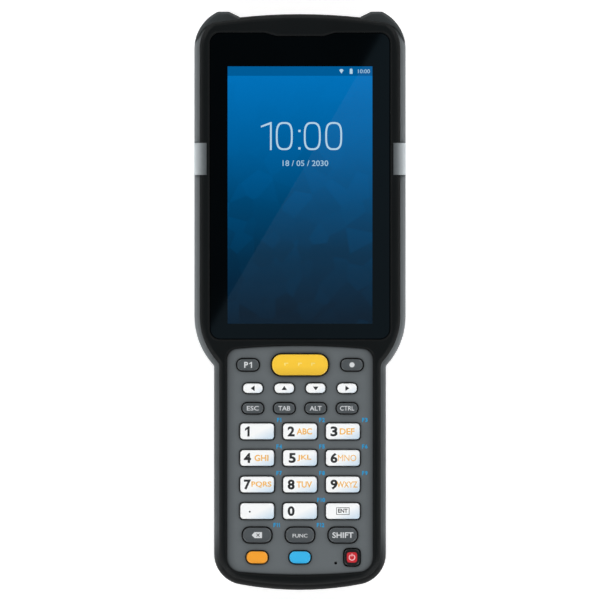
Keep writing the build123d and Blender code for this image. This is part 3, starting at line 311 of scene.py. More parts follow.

# %% [markdown]
# ## The grey skin
#
# The rear housing has a soft-touch skin. It is mid grey along the sides, with painted shade that makes
# it darker in the grip, and goes over to a black rubber round the foot and along the top edge between
# the corner bumpers. Three masks do this, each a smooth step along the body, and the skin's pores
# are a fine noise. Its steep faces are painted paler, as a highlight, mixed with random tone from a
# wide cloud. The steps' places and lengths are in millimetres from the terminal's middle.

# %% Grey skin with darker ends
GRIP_STARTS = -14.0
GRIP_FADE = 12.0
FOOT_STARTS = -80.0
FOOT_FADE = 14.0
HEAD_STARTS = 91.0
HEAD_FADE = 5.0


def grey_skin():
    """Grey soft-touch skin with painted shade in the grip and a painted highlight on steep faces,
    black at both ends.
    """
    finish = Finish("grey_skin", Specular_IOR_Level=0.2)
    y = finish.along("Y")
    # Painted shade: the grip is made darker than the head.
    grip = ((GRIP_STARTS - y) / GRIP_FADE).clamped()
    foot = ((FOOT_STARTS - y) / FOOT_FADE).clamped()
    head = y.past(HEAD_STARTS, HEAD_FADE)
    pores = finish.grain(0.45)
    cloud = finish.grain(22.0, 2.0)
    # Painted highlight: steep faces go over to the paler grey, mixed with random tone from the cloud
    # and the pores.
    slope_highlight_and_tone = (finish.slope() * 1.1 + cloud * 0.35 + pores * 0.2 - 0.1).clamped()
    head_grey = finish.mix(slope_highlight_and_tone, linear(108, 113, 115), linear(136, 141, 144))
    grip_shaded_grey = finish.mix(slope_highlight_and_tone, linear(86, 90, 92), linear(108, 112, 114))
    side_grey = finish.mix(grip, head_grey, grip_shaded_grey)
    colour = finish.mix((foot + head).clamped(), side_grey, linear(14, 16, 17))
    return finish.coated(colour, 0.52 + ROUGHNESS_SWING * pores, pores, 0.025, edge=1.2)


finish_of["grey_skin"] = grey_skin()
print("the skin is grey from", FOOT_STARTS, "to", HEAD_STARTS, "mm and black beyond")

# %% [markdown]
# ## Keypad plate and keys
#
# The plate is a painted grey moulding. Where it meets its frame and its keys, an Ambient Occlusion
# node, which measures how shut in a point is, darkens it as painted shade, and a mask adds painted
# shade towards its sides. The keys are gloss mouldings. Their colour carries painted shade as well:
# the caps other than the power key go over to a darker colour towards their lower side, a colder,
# darker one towards the lower right corner on the white ones, and a dark shade on their steep
# shoulder. The shade needs each key's own place, and a key is a mesh placed round its own middle,
# so object coordinates serve.

# %% Plate
CREVICE_REACH = 3.2
EDGE_SHADE = 4.9
EDGE_FADE = 4.8
plate_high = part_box("keypad_plate")[1]


def plate_paint_and_shade():
    """Grey paint, with painted shade in the corners round keys and frame and towards its sides."""
    finish = Finish("keypad_plate_grey", Specular_IOR_Level=0.4)
    # Painted shade: Ambient Occlusion darkens the crevices round keys and frame, and a mask darkens
    # the sides.
    crevice_painted_shade = 1 - finish.openness(CREVICE_REACH)
    side_painted_shade = finish.along("X").size().past(plate_high.x / MM - EDGE_SHADE, EDGE_FADE)
    fine = finish.grain(0.3)
    shade = (crevice_painted_shade * 1.9 + side_painted_shade * side_painted_shade * 0.35 - 0.02 + 0.08 * fine).clamped()
    colour = finish.mix(shade, linear(97, 103, 106), linear(34, 37, 39))
    return finish.coated(colour, 0.46 + 0.12 * fine, fine, 0.01)


finish_of["pad_grey"] = plate_paint_and_shade()
print("the plate's paint shades the last", EDGE_SHADE, "mm at its sides")

# %% Key plastics
KEY_BLACK = moulded("key_black", linear(20, 21, 23), 0.35, 0.25, 0.004, 0.05)
KEY_RED = moulded("key_red", linear(204, 40, 50), 0.35, 0.25, 0.004, 0.05)
FACE_LEVEL = 0.4


def gloss_cap(name, top, lower, rim_shade, across, reach):
    """A cap's colour with painted shade: the top colour, a lower colour towards its lower side, and a
    dark shade on steep faces.

    The share of X in the way down is given as across, and the reach is in millimetres.
    """
    finish = Finish(name)
    # Painted shade: the cap goes over to its lower colour towards its lower side.
    shade = (finish.along("X") * across - finish.along("Y")).past(FACE_LEVEL, reach)
    fine = finish.grain(0.25)
    face = finish.mix((shade + 0.05 * fine).clamped(), top, lower)
    # Painted shade: the steep faces of the shoulder take the dark shade colour.
    colour = finish.mix((finish.slope() * 1.5 - 0.3).clamped(), face, rim_shade)
    return finish.coated(colour, 0.26 + 0.1 * fine, fine, 0.003)


# %% Cap colours
# Each key: top colour, then the lower colour and the shoulder colour of the painted shade, the share
# of X, and the reach.
CAP_COLOURS_AND_SHADES = {
    "key_white": ((254, 255, 255), (190, 218, 238), (150, 156, 160), 0.5, 6.0),
    "key_dark": ((80, 85, 88), (70, 74, 77), (26, 28, 30), 0.0, 3.0),
    "key_yellow": ((255, 206, 58), (222, 178, 46), (120, 96, 30), 0.0, 4.5),
    "key_orange": ((250, 165, 46), (240, 156, 40), (110, 72, 20), 0.0, 3.0),
    "key_blue": ((56, 184, 238), (42, 172, 230), (12, 66, 96), 0.0, 3.0),
}
for name, (top, lower, rim_shade, across, reach) in CAP_COLOURS_AND_SHADES.items():
    finish_of[name] = gloss_cap(name, linear(*top), linear(*lower), linear(*rim_shade), across, reach)
print("gloss caps:", *CAP_COLOURS_AND_SHADES)


# %% Printing inks
def printing_ink(name, colour, roughness=0.5, drift=0.03):
    """A printed film with hardly any grain."""
    return moulded(f"ink_{name}", colour, roughness, 0.2, 0.002, drift)


INK_BLACK = printing_ink("black", linear(30, 32, 35), drift=0.05)
INK_ORANGE = printing_ink("orange", linear(247, 188, 88))
INK_WHITE = printing_ink("white", linear(214, 217, 219))
INK_BLUE = printing_ink("blue", linear(8, 150, 208))
INK_GOLD = printing_ink("gold", linear(255, 226, 120), 0.4)
INK_PINK = printing_ink("pink", linear(252, 190, 194), 0.4)
print("the plate's labels are in", INK_BLUE.material.name)

# %% [markdown]
# ## Metals, rubbers and boards inside
#
# They show only where the battery is out or the housing is open, but each is still its own
# material. Sheet metal is brushed: noise stretched along one axis. A circuit board has traces,
# which a Brick Texture draws well enough at this size. Silicone is soft and slightly cloudy.

# %% Brushed or cast metal
BRUSH_SCALE = 2500.0


def metal(name, colour, roughness, stretch):
    """A metal whose brush marks run along X, longer than wide by the stretch."""
    finish = Finish(name, Metallic=1.0)
    stretched = {"Vector": finish.place(), "Scale": (1 / stretch, 1.0, 1.0)}
    brushed = finish.node("ShaderNodeMapping", "Vector", {}, stretched)
    sockets = {"Vector": brushed, "Scale": BRUSH_SCALE, "Detail": 3.0}
    marks = finish.node("ShaderNodeTexNoise", "Fac", {}, sockets)
    brushed_colour = finish.mix(marks, toned(colour, 0.8), colour)
    grainy = roughness - ROUGHNESS_SWING / 2 + ROUGHNESS_SWING * marks
    return finish.coated(brushed_colour, grainy, marks, 0.004)


finish_of |= {
    "dome_steel": metal("dome_steel", linear(205, 206, 209), 0.3, 1.0),
    "chassis_metal": metal("cast_chassis", linear(176, 178, 181), 0.5, 1.0),
    "shield_tin": metal("tinned_shield", linear(205, 206, 209), 0.35, 12.0),
    "bracket_steel": metal("bracket_steel", linear(190, 192, 195), 0.35, 12.0),
    "motor_steel": metal("motor_steel", linear(196, 197, 200), 0.3, 1.0),
    "screw_steel": metal("screw_steel", linear(170, 171, 174), 0.35, 1.0),
    "bar_steel": metal("strap_bar_steel", linear(150, 151, 153), 0.35, 8.0),
}
CONTACT_GOLD = metal("contact_gold", linear(222, 182, 98), 0.3, 1.0)
print(len(finish_of), "finishes so far, and gold for the contacts")

# %% Boards and silicones
TRACES = {"Scale": 420.0, "Mortar Size": 0.09, "Brick Width": 1.7, "Row Height": 0.5}


def circuit_board():
    """Green solder mask over rows of paler copper traces."""
    finish = Finish("circuit_board")
    sockets = {"Vector": finish.place(), **TRACES}
    traces = finish.node("ShaderNodeTexBrick", "Fac", {"offset": 0.35}, sockets)
    solder_mask = finish.mix(finish.grain(3.0), linear(14, 74, 44), linear(20, 92, 56))
    return finish.coated(finish.mix(traces * 0.6, solder_mask, linear(60, 140, 88)), 0.4, traces, 0.02)


finish_of |= {
    "circuit_board": circuit_board(),
    "mat_silicone": moulded("keypad_silicone", linear(196, 196, 190), 0.55, 0.6, 0.01, 0.04),
    "seal_silicone": moulded("seal_silicone", linear(40, 42, 44), 0.5, 0.5, 0.01, 0.05),
}
print("a row of traces is", round(TRACES["Row Height"] / TRACES["Scale"] / MM, 2), "mm wide")

# %% [markdown]
# ## Glass, window and light pipes
#
# The cover glass is one sheet, clear over the lit area and printed black round it. A ray that meets
# printed glass can only be mirrored or swallowed, so the print needs no film of its own: a Mix
# Shader chooses between clear glass and gloss black by where a point lies. The scan window is a
# dark red filter. The light pipes are frosted. Their colour carries a painted highlight, paler at the
# outer edge, and painted shade on the part that dips under the frame.

# %% Where the screen shows
glass_low, glass_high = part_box("display_glass")
SCREEN_BORDER = 6.15
SCREEN_MARGIN = 5.4
SCREEN_HEIGHT = 90.1
SCREEN_HALF = glass_high.x / MM - SCREEN_BORDER
SCREEN_FOOT = glass_low.y / MM + SCREEN_MARGIN
SCREEN_TOP = SCREEN_FOOT + SCREEN_HEIGHT
print("the screen shows from", round(SCREEN_FOOT, 1), "to", round(SCREEN_TOP, 1), "mm")

# %% Printed glass
BORDER_GLOSS = 0.95


def printed_glass():
    """Clear glass with a gloss black border round the lit area."""
    finish = Finish("cover_glass", Roughness=0.0, Transmission_Weight=1.0, IOR=1.5)
    smears = finish.grain(26.0, 4.0)
    finish.give(Base_Color=finish.mix(smears, (0.985, 0.99, 0.995, 1.0), WHITE))
    clear = Wire(finish, finish.surface.outputs[0])
    black = finish.mix(smears, linear(3, 5, 7), linear(5, 9, 11))
    gloss = {"Base Color": black, "Roughness": 0.02, "Specular IOR Level": BORDER_GLOSS}
    border = finish.node("ShaderNodeBsdfPrincipled", "BSDF", {}, gloss)
    middle = (SCREEN_FOOT + SCREEN_TOP) / 2
    across = finish.along("X").size().below(SCREEN_HALF)
    lengthways = (finish.along("Y") - middle).size().below(SCREEN_HEIGHT / 2)
    finish.show(finish.blend(across * lengthways, border, clear))
    return finish


finish_of["cover_glass"] = printed_glass()
print("the printed border is", SCREEN_BORDER, "mm wide at the sides")

# %% Scan window
TINT_RISE = 30.0


def red_filter():
    """Dark red filter, a little paler towards the front."""
    finish = Finish("window_red", Roughness=0.14, Specular_IOR_Level=0.25)
    tint = (finish.along("Z") / TINT_RISE + 0.2 * finish.grain(9.0)).clamped()
    finish.give(Base_Color=finish.mix(tint, linear(58, 4, 9), linear(118, 10, 18)))
    return finish


finish_of["window_red"] = red_filter()
print("the scan window pales by", round(1 / TINT_RISE, 3), "a millimetre")

# %% Light pipes
PIPE_REACH = 4.45
PIPE_FADE = 4.4
pipe_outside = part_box("status_light_pipes")[1].x / MM


def frosted_pipe():
    """Frosted plastic with a painted highlight at the outer edge and painted shade further in."""
    finish = Finish("frosted_light_pipe")
    # Painted highlight towards the outer edge, and painted shade further in, where the pipe dips under
    # the frame.
    outer_painted_highlight = finish.along("X").size().past(pipe_outside - PIPE_REACH, PIPE_FADE)
    haze = finish.grain(0.8)
    edge = (outer_painted_highlight * outer_painted_highlight * 0.94 + haze * 0.06).clamped()
    colour = finish.mix(edge, linear(66, 72, 75), linear(224, 232, 236))
    return finish.coated(colour, 0.42 + 0.1 * haze, haze, 0.01, edge=0.2)


finish_of["frosted_pipe"] = frosted_pipe()
print("the light pipes pale over their outer", PIPE_REACH, "mm")

# %% [markdown]
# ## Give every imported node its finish
#
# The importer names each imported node's material after its slot, so the table of finishes is all that
# is needed. The display's node gives way to a lit panel further on, so the imager's black serves.

# %% Slots to finishes
finish_of["display"] = finish_of["imager_black"]
slot_of = {}
for node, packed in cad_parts.items():
    slot_of[node] = packed.data.materials[0].name.split(".")[0]
    packed.material_slots[0].material = finish_of[slot_of[node]].material
print(len(slot_of), "nodes in", len(set(slot_of.values())), "finishes")

# %% [markdown]
# ## Mesh helpers
#
# Three ways of making a mesh are enough here. `stack` joins rings of points into one closed skin,
# which suits a key cap: its outline shrinks as it rises over a rounded shoulder. `sheet` gives a
# thickness to flat outlines, and `hoop` to the band between two outlines, which suits printing.

# %% Outlines
def arc(radius, turns):
    """Points on a circle about the origin, at some turns."""
    return [(radius * math.cos(turn), radius * math.sin(turn)) for turn in turns]


def rounded_outline(width, height, radius, steps=6):
    """Points round a rectangle with rounded corners, anticlockwise about the origin."""
    points = []
    for quarter, (right, up) in enumerate(((1, 1), (-1, 1), (-1, -1), (1, -1))):
        middle = (right * (width / 2 - radius), up * (height / 2 - radius))
        turns = [math.radians(90 * (quarter + step / steps)) for step in range(steps + 1)]
        points += [(middle[0] + x, middle[1] + y) for x, y in arc(radius, turns)]
    return points


def in_metres(outlines):
    """Outlines in metres, from outlines in millimetres."""
    return [[(x * MM, y * MM) for x, y in outline] for outline in outlines]


print("a rounded outline has", len(rounded_outline(2.0, 1.0, 0.2)), "points")

# %% Pieces and stacks
SHARP_ANGLE = 38


def new_piece(name, mesh, finish):
    """Puts a mesh in the scene, with its finish and smooth shading over shallow angles."""
    mesh.materials.append(finish.material)
    mesh.polygons.foreach_set("use_smooth", [True] * len(mesh.polygons))
    mesh.set_sharp_from_angle(angle=math.radians(SHARP_ANGLE))
    piece = bpy.data.objects.new(name, mesh)
    bpy.context.scene.collection.objects.link(piece)
    return piece


def skinned(name, vertices, faces, finish):
    """A piece from its points and faces."""
    mesh = bpy.data.meshes.new(name)
    mesh.from_pydata(vertices, [], faces)
    return new_piece(name, mesh, finish)


def joined(levels, count):
    """Faces between rings that follow one another and have the same count of points."""
    faces = []
    for lower, upper in levels:
        for i in range(count):
            j = (i + 1) % count
            faces.append((lower + i, lower + j, upper + j, upper + i))
    return faces


def stack(name, rings, finish):
    """A closed skin through rings of points, capped at both ends."""
    count = len(rings[0])
    vertices = [point for ring in rings for point in ring]
    starts = range(0, len(vertices), count)
    faces = joined(zip(starts, starts[1:]), count)
    faces.append(list(range(count))[::-1])
    faces.append(list(range(starts[-1], len(vertices))))
    return skinned(name, vertices, faces, finish)


# %% Thin sheets and hoops
def sheet(name, outlines, bottom, thickness, finish):
    """Flat outlines given a thickness, as one closed mesh for each outline."""
    vertices = []
    faces = []
    for outline in outlines:
        count = len(outline)
        first = len(vertices)
        vertices += [(x, y, z) for z in (bottom, bottom + thickness) for x, y in outline]
        faces += joined([(first, first + count)], count)
        faces.append([first + i for i in reversed(range(count))])
        faces.append([first + count + i for i in range(count)])
    return skinned(name, vertices, faces, finish)


def hoop(name, pairs, bottom, thickness, finish):
    """Bands between an outer and an inner outline, given a thickness."""
    vertices = []
    faces = []
    for outer, inner in pairs:
        count = len(outer)
        first = len(vertices)
        top = bottom + thickness
        for outline, z in ((outer, bottom), (outer, top), (inner, top), (inner, bottom)):
            vertices += [(x, y, z) for x, y in outline]
        starts = [first + level * count for level in range(4)]
        faces += joined(zip(starts, starts[1:] + starts[:1]), count)
    return skinned(name, vertices, faces, finish)


# %% Printed words
WELD = 3e-4
SLIVER = 6e-4
LETTER_CURVE_STEPS = 3


def letter_shape(name, text, weight):
    """A text's mesh, one unit thick about its middle, without slivers."""
    curve = bpy.data.curves.new(name, "FONT")
    curve.body = text
    curve.extrude = 0.5
    curve.offset = weight
    curve.resolution_u = LETTER_CURVE_STEPS
    lines = bpy.data.objects.new(name, curve)
    bpy.context.scene.collection.objects.link(lines)
    bpy.context.view_layer.update()
    mesh = bpy.data.meshes.new_from_object(lines)
    bpy.data.objects.remove(lines)
    shape = bmesh.new()
    shape.from_mesh(mesh)
    bmesh.ops.remove_doubles(shape, verts=shape.verts, dist=WELD)
    bmesh.ops.dissolve_degenerate(shape, edges=shape.edges, dist=SLIVER)
    return mesh, shape


def words(name, text, place, size, bottom, thickness, finish, weight=0.0):
    """Text as a closed mesh that fills a size round a place. The weight fattens or thins it."""
    mesh, shape = letter_shape(name, text, weight)
    left = min(v.co.x for v in shape.verts)
    right = max(v.co.x for v in shape.verts)
    foot = min(v.co.y for v in shape.verts)
    top = max(v.co.y for v in shape.verts)
    for v in shape.verts:
        x = place[0] + ((v.co.x - left) / (right - left) - 0.5) * size[0]
        y = place[1] + ((v.co.y - foot) / (top - foot) - 0.5) * size[1]
        v.co = (x, y, bottom + (v.co.z + 0.5) * thickness)
    shape.to_mesh(mesh)
    shape.free()
    mesh.materials.clear()
    return new_piece(name, mesh, finish)


# %% [markdown]
# ## Key caps
#
# A real cap is a hard gloss shell with a small rounded shoulder, and a pocket below for the mat's
# pillar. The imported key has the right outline, height and travel but is a plain block, so each cap
# is made again over it: the outline is read from the node's own box, and a quarter circle takes it
# over the shoulder to a flat top. The pocket takes up the travel, so a pressed cap never cuts
# into its pillar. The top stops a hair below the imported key's, which leaves room for the printing.

# %% The cap
SIGN_ROOM = 0.03 * MM
SHOULDER = 0.45 * MM
CAP_GAP = 0.15 * MM
POCKET_DEPTH = 0.78 * MM
POCKET_SHARE = 0.72
POCKET_CORNER = 0.3 * MM
SHOULDER_STEPS = 5
CORNER_RADII = {name: 1.2 * MM for name in [*"0123456789", "point", "enter"]} | {"power": 1.6 * MM}
PILL_SHARE = 0.46


def key_cap(name):
    """A rounded cap in place of a packed key. Returns the middle and height of its flat top."""
    low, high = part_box(f"key_{name}")
    middle = (low + high) / 2
    width, height = high.x - low.x - 2 * CAP_GAP, high.y - low.y - 2 * CAP_GAP
    radius = CORNER_RADII.get(name, PILL_SHARE * height)
    half_depth = high.z - middle.z
    top = half_depth - SIGN_ROOM
    pocket = rounded_outline(width * POCKET_SHARE, height * POCKET_SHARE, POCKET_CORNER)
    levels = [(pocket, POCKET_DEPTH - half_depth), (pocket, -half_depth)]
    levels.append((rounded_outline(width, height, radius), -half_depth))
    for step in range(SHOULDER_STEPS + 1):
        turn = math.radians(90 * step / SHOULDER_STEPS)
        inset = SHOULDER * (1 - math.cos(turn))
        outline = rounded_outline(width - 2 * inset, height - 2 * inset, radius - inset)
        levels.append((outline, top - SHOULDER * (1 - math.sin(turn))))
    rings = [[(x, y, z) for x, y in outline] for outline, z in levels]
    slot = slot_of[f"key_{name}"]
    cap = stack(f"cap_{name}", rings, KEY_BLACK if name == "power" else finish_of[slot])
    cap.location = middle
    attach(cap, f"{name}_key")
    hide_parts(f"key_{name}")
    return middle.x, middle.y, high.z - SIGN_ROOM


# %% Make the twenty-nine caps
KEY_NAMES = ["p1", "dot", "esc", "tab", "alt", "ctrl", "left", "up", "down", "right", *"0123456789"]
KEY_NAMES += ["point", "enter", "backspace", "func", "shift", "scan", "orange", "blue", "power"]
key_tops = {name: key_cap(name) for name in KEY_NAMES}
print(len(key_tops), "caps; the scan key's top is at", round(key_tops["scan"][2] / MM, 2), "mm")

# %% [markdown]
# ## Signs on the keys
#
# Signs are printed or laser-marked on the caps. Each is a film three hundredths of a millimetre
# thick that rides with its key, so a pressed key takes its sign down with it. Words come from
# Blender's own font. Icons, and the figure 1 with its flag, which that font leaves out, are drawn
# as outlines in millimetres round the middle of their key.

# %% Ink on a key
FILM = 0.03 * MM
SUNK = 0.01 * MM


def carried(sign, key):
    """Lets a sign ride on its key."""
    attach(sign, f"{key}_key")


def key_word(key, part, text, ink, shift, size, weight=0.0):
    """Prints a text on a key. The shift from its middle and the size are in millimetres."""
    x, y, top = key_tops[key]
    place = (x + shift[0] * MM, y + shift[1] * MM)
    span = (size[0] * MM, size[1] * MM)
    carried(words(f"sign_{key}_{part}", text, place, span, top - SUNK, FILM, ink, weight), key)


def key_icon(key, part, outlines, ink, shift=(0.0, 0.0), lift=0.0):
    """Prints outlines on a key, shifted from its middle and lifted over other ink."""
    x, y, top = key_tops[key]
    right, up = shift
    drawn = []
    for outline in outlines:
        drawn.append([(x + (right + u) * MM, y + (up + v) * MM) for u, v in outline])
    carried(sheet(f"sign_{key}_{part}", drawn, top - SUNK + lift * MM, FILM, ink), key)


print("a sign stands", round((FILM - SUNK) / MM, 3), "mm over its cap")


# %% Outlines for icons
def circle(radius, steps=20):
    """Points all the way round a circle about the origin."""
    return arc(radius, [2 * math.pi * step / steps for step in range(steps)])


def bar(x0, x1, y0, y1):
    """A rectangle between two corners."""
    return [(x0, y0), (x1, y0), (x1, y1), (x0, y1)]


def open_ring(outer, inner, start, end, steps=20):
    """A ring from one angle to another, in degrees."""
    turns = [math.radians(start + (end - start) * step / steps) for step in range(steps + 1)]
    return arc(outer, turns) + arc(inner, turns[::-1])


def turned(outline, degrees):
    """An outline turned about the origin."""
    cosine, sine = math.cos(math.radians(degrees)), math.sin(math.radians(degrees))
    return [(x * cosine - y * sine, x * sine + y * cosine) for x, y in outline]


def figure_one(left, foot, width, height, stroke, flag):
    """The figure 1: a stem at the right and a slanting flag, as thick as the stroke."""
    right, top = left + width, foot + height
    return [
        (right - stroke, foot),
        (right, foot),
        (right, top),
        (right - 0.7 * stroke, top),
        (left, top - flag),
        (left, top - flag - stroke),
        (right - stroke, top - 1.3 * stroke),
    ]


# %% Digits and their letters
DIGIT_SIZE = (2.45, 3.5)
DIGIT_SHIFTS = {"4": -3.4, "5": -2.7, "7": -3.4}
DIGIT_SHIFT = -3.1
LETTER_HEIGHT = 2.2
LETTER_SHIFT = 1.5
BOLD = 0.038
MEDIUM = 0.025
LETTERS = {"2": ("ABC", 5.4), "3": ("DEF", 5.2), "4": ("GHI", 4.9), "5": ("JKL", 4.9)}
LETTERS |= {"6": ("MNO", 6.4), "7": ("PQRS", 7.0), "8": ("TUV", 5.4), "9": ("WXYZ", 7.2)}
LETTER_WEIGHTS = {"6": 0.0, "9": 0.015}
key_icon("1", "digit", [figure_one(-4.25, -1.75, 1.6, DIGIT_SIZE[1], 0.75, 0.8)], INK_BLACK)
for digit in "023456789":
    shift = (DIGIT_SHIFTS.get(digit, DIGIT_SHIFT), 0.0)
    key_word(digit, "digit", digit, INK_BLACK, shift, DIGIT_SIZE, BOLD)
for digit, (letters, span) in LETTERS.items():
    weight = LETTER_WEIGHTS.get(digit, MEDIUM)
    key_word(digit, "letters", letters, INK_ORANGE, (LETTER_SHIFT, 0.0), (span, LETTER_HEIGHT), weight)
print("ten digits, and letters on", len(LETTERS), "keys")

# %% Words on the dark keys, and the enter sign
SMALL_WORDS = {"esc": 4.2, "tab": 4.2, "alt": 4.2, "ctrl": 5.0}
for key, width in SMALL_WORDS.items():
    key_word(key, "word", key.upper(), INK_WHITE, (0.0, 0.0), (width, 1.6), 0.01)
key_word("shift", "word", "SHIFT", INK_WHITE, (0.0, 0.0), (7.4, 2.0), 0.02)
key_word("func", "word", "FUNC", INK_WHITE, (0.0, -0.2), (5.2, 1.3), 0.01)
key_word("p1", "word", "P", INK_WHITE, (-0.65, 0.0), (1.4, 2.1), 0.03)
key_icon("p1", "figure", [figure_one(0.45, -1.05, 0.95, 2.1, 0.4, 0.5)], INK_WHITE)
key_word("enter", "word", "ENT", INK_BLACK, (0.0, 0.1), (3.3, 1.4), 0.02)
print(len(SMALL_WORDS), "small words, and four others")

# %% Arrows, dots and marks
ARROW = [(-0.95, -0.6), (0.95, -0.6), (0.0, 0.75)]
ARROW_TURNS = {"up": 0, "left": 90, "down": 180, "right": 270}
for key, degrees in ARROW_TURNS.items():
    key_icon(key, "arrow", [turned(ARROW, degrees)], INK_BLACK)
key_icon("dot", "spot", [circle(0.9)], INK_WHITE)
key_icon("point", "spot", [circle(0.32)], INK_BLACK, (-2.6, -0.2))
BOX_X, BOX_Y = 2.3, 1.28
BOX_STROKE = 0.18
inner_x, inner_y = BOX_X - BOX_STROKE, BOX_Y - BOX_STROKE
flat_bars = [bar(-BOX_X, BOX_X, inner_y, BOX_Y), bar(-BOX_X, BOX_X, -BOX_Y, -inner_y)]
upright_bars = [bar(-BOX_X, -inner_x, -inner_y, inner_y), bar(inner_x, BOX_X, -inner_y, inner_y)]
key_icon("enter", "box", flat_bars + upright_bars, INK_BLACK)
HOOK = [(-0.7, -0.6), (-0.25, -0.6), (-0.25, 0.05), (0.7, 0.05), (0.7, 0.45), (-0.7, 0.45)]
HOOK_PLACES = {"left": -4.8, "middle": 0.0, "right": 4.6}
for part, x in HOOK_PLACES.items():
    key_icon("scan", f"mark_{part}", [HOOK], INK_GOLD, (x, 0.3))
print(len(ARROW_TURNS), "arrows and", len(HOOK_PLACES), "hooks")

# %% Backspace tag with its cross, and the power key's red face
OVER_INK = 0.02
TAG = [(-1.9, 0.0), (-0.9, -1.05), (1.7, -1.05), (1.7, 1.05), (-0.9, 1.05)]
ARM, ARM_HALF = 0.75, 0.13
CROSS = [
    turned(bar(-ARM, ARM, -ARM_HALF, ARM_HALF), 45),
    turned(bar(-ARM, -ARM_HALF, -ARM_HALF, ARM_HALF), -45),
    turned(bar(ARM_HALF, ARM, -ARM_HALF, ARM_HALF), -45),
]
key_icon("backspace", "tag", [TAG], INK_WHITE)
key_icon("backspace", "cross", CROSS, finish_of["key_dark"], (0.3, 0.0), lift=OVER_INK)
POWER_SIGN = [open_ring(1.15, 0.8, 120, 420), bar(-0.18, 0.18, 0.4, 1.3)]
key_icon("power", "face", [rounded_outline(3.6, 3.6, 0.9)], KEY_RED)
key_icon("power", "ring", POWER_SIGN, INK_PINK, lift=OVER_INK)
print("the cross and the ring lie", OVER_INK, "mm over the ink below them")

# %% [markdown]
# ## Blue function labels on the plate
#
# F1 to F12 are printed on the plate itself, above the right end of the keys that carry them, so
# they ride with the housing and not with a key.

# %% Print F1 to F12
LABEL_HEIGHT = 1.5
LABEL_GAP = 0.25
LABEL_WEIGHT = 0.045
FIGURE_WIDTH = {"F": 0.8, "1": 0.45, "0": 1.0}
OTHER_WIDTH = 0.9
FUNCTION_LABELS = [(f"F{n + 1}", digit, 7.7, 4.0) for n, digit in enumerate("123456789")]
FUNCTION_LABELS += [("F10", "0", 7.4, 3.9), ("F11", "backspace", 6.8, 3.5)]
FUNCTION_LABELS += [("F12", "func", 7.2, 3.5)]


def on_terminal(piece):
    """Lets a piece ride with the housing."""
    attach(piece, "terminal")


def plate_label(text, x, y):
    """Prints a label's letter and figures from left to right. Returns the outlines of its ones."""
    ones = []
    widths = [FIGURE_WIDTH.get(figure, OTHER_WIDTH) for figure in text]
    left = x - (sum(widths) + LABEL_GAP * (len(text) - 1)) / 2
    bottom = plate_high.z - SUNK
    for index, (figure, width) in enumerate(zip(text, widths)):
        if figure == "1":
            ones.append(figure_one(left, y - LABEL_HEIGHT / 2, width, LABEL_HEIGHT, 0.26, 0.3))
        else:
            place = ((left + width / 2) * MM, y * MM)
            span = (width * MM, LABEL_HEIGHT * MM)
            name = f"label_{text}_{index}"
            label = words(name, figure, place, span, bottom, FILM, INK_BLUE, LABEL_WEIGHT)
            on_terminal(label)
        left += width + LABEL_GAP
    return ones


label_ones = []
for text, key, right, up in FUNCTION_LABELS:
    x, y, _ = key_tops[key]
    label_ones += plate_label(text, x / MM + right, y / MM + up)
ones = sheet("label_ones", in_metres(label_ones), plate_high.z - SUNK, FILM, INK_BLUE)
on_terminal(ones)
print(len(FUNCTION_LABELS), "labels on the plate")

# %% [markdown]
# ## Gold contacts in the foot
#
# A charging cradle's spring pins press on eight gold pads, one at the bottom of each slot of the
# dock connector. They are too small to need a shape of their own in the CAD model, so a thin sheet
# of rounded pads, stood upright, is laid into the slots.

# %% Pads
DOCK_PADS = 8
DOCK_PITCH = 2.625
DOCK_SLOT_DEPTH = 0.8
PAD_SIZE = (0.9, 2.1)
PAD_CORNER = 0.3
PAD_THICKNESS = 0.45
dock_low, dock_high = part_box("dock_connector")
dock_z = (dock_low.z + dock_high.z) / 2 / MM
slot_floor = dock_low.y / MM + DOCK_SLOT_DEPTH
pad = rounded_outline(*PAD_SIZE, PAD_CORNER, 3)
middles = [(n - (DOCK_PADS - 1) / 2) * DOCK_PITCH for n in range(DOCK_PADS)]
pads = in_metres([[(middle + x, dock_z + z) for x, z in pad] for middle in middles])
dock_pads = sheet("dock_contact_pads", pads, -slot_floor * MM, PAD_THICKNESS * MM, CONTACT_GOLD)
dock_pads.rotation_euler = (math.pi / 2, 0.0, 0.0)
on_terminal(dock_pads)
print(DOCK_PADS, "pads, whose slots end at", round(slot_floor, 2), "mm")

# %% [markdown]
# ## The lit screen
#
# Under the clear part of the glass lies the lit panel. Its picture is a vertical fade from mid blue
# to night blue with faint facets, so a Voronoi texture shifts the fade a little from cell to cell.
# The panel emits what it shows, because a screen is a lamp, and its strength of 1 renders the
# colours as written. It is bonded to the glass with no air between, so it has no gloss of its own.

# %% The panel's picture
FACET_SIZE = 7.0
SCREEN_STOPS = [
    (0.0, linear(9, 28, 45)),
    (0.25, linear(6, 49, 78)),
    (0.45, linear(1, 71, 115)),
    (0.7, linear(0, 99, 162)),
    (1.0, linear(2, 120, 196)),
]


def lit_panel():
    """Blue fade with facets that are plainer towards the foot, emitted by the screen."""
    finish = Finish("lit_panel", Roughness=0.4, Specular_IOR_Level=0.0, Emission_Strength=1.0)
    up = (finish.along("Y") - SCREEN_FOOT) / SCREEN_HEIGHT
    cells = {"Vector": finish.place(), "Scale": 1 / (FACET_SIZE * MM)}
    facets = finish.node("ShaderNodeTexVoronoi", "Color", {"feature": "F1"}, cells)
    tone = finish.node("ShaderNodeSeparateColor", "Red", {}, {"Color": facets})
    height = (up + (0.1 - 0.09 * up) * (tone - 0.5)).clamped()
    picture = finish.node("ShaderNodeValToRGB", "Color", {"stops": SCREEN_STOPS}, {"Fac": height})
    finish.give(Base_Color=UNLIT, Emission_Color=picture)
    return finish


LIT_PANEL = lit_panel()
print("the picture's facets are about", FACET_SIZE, "mm wide")

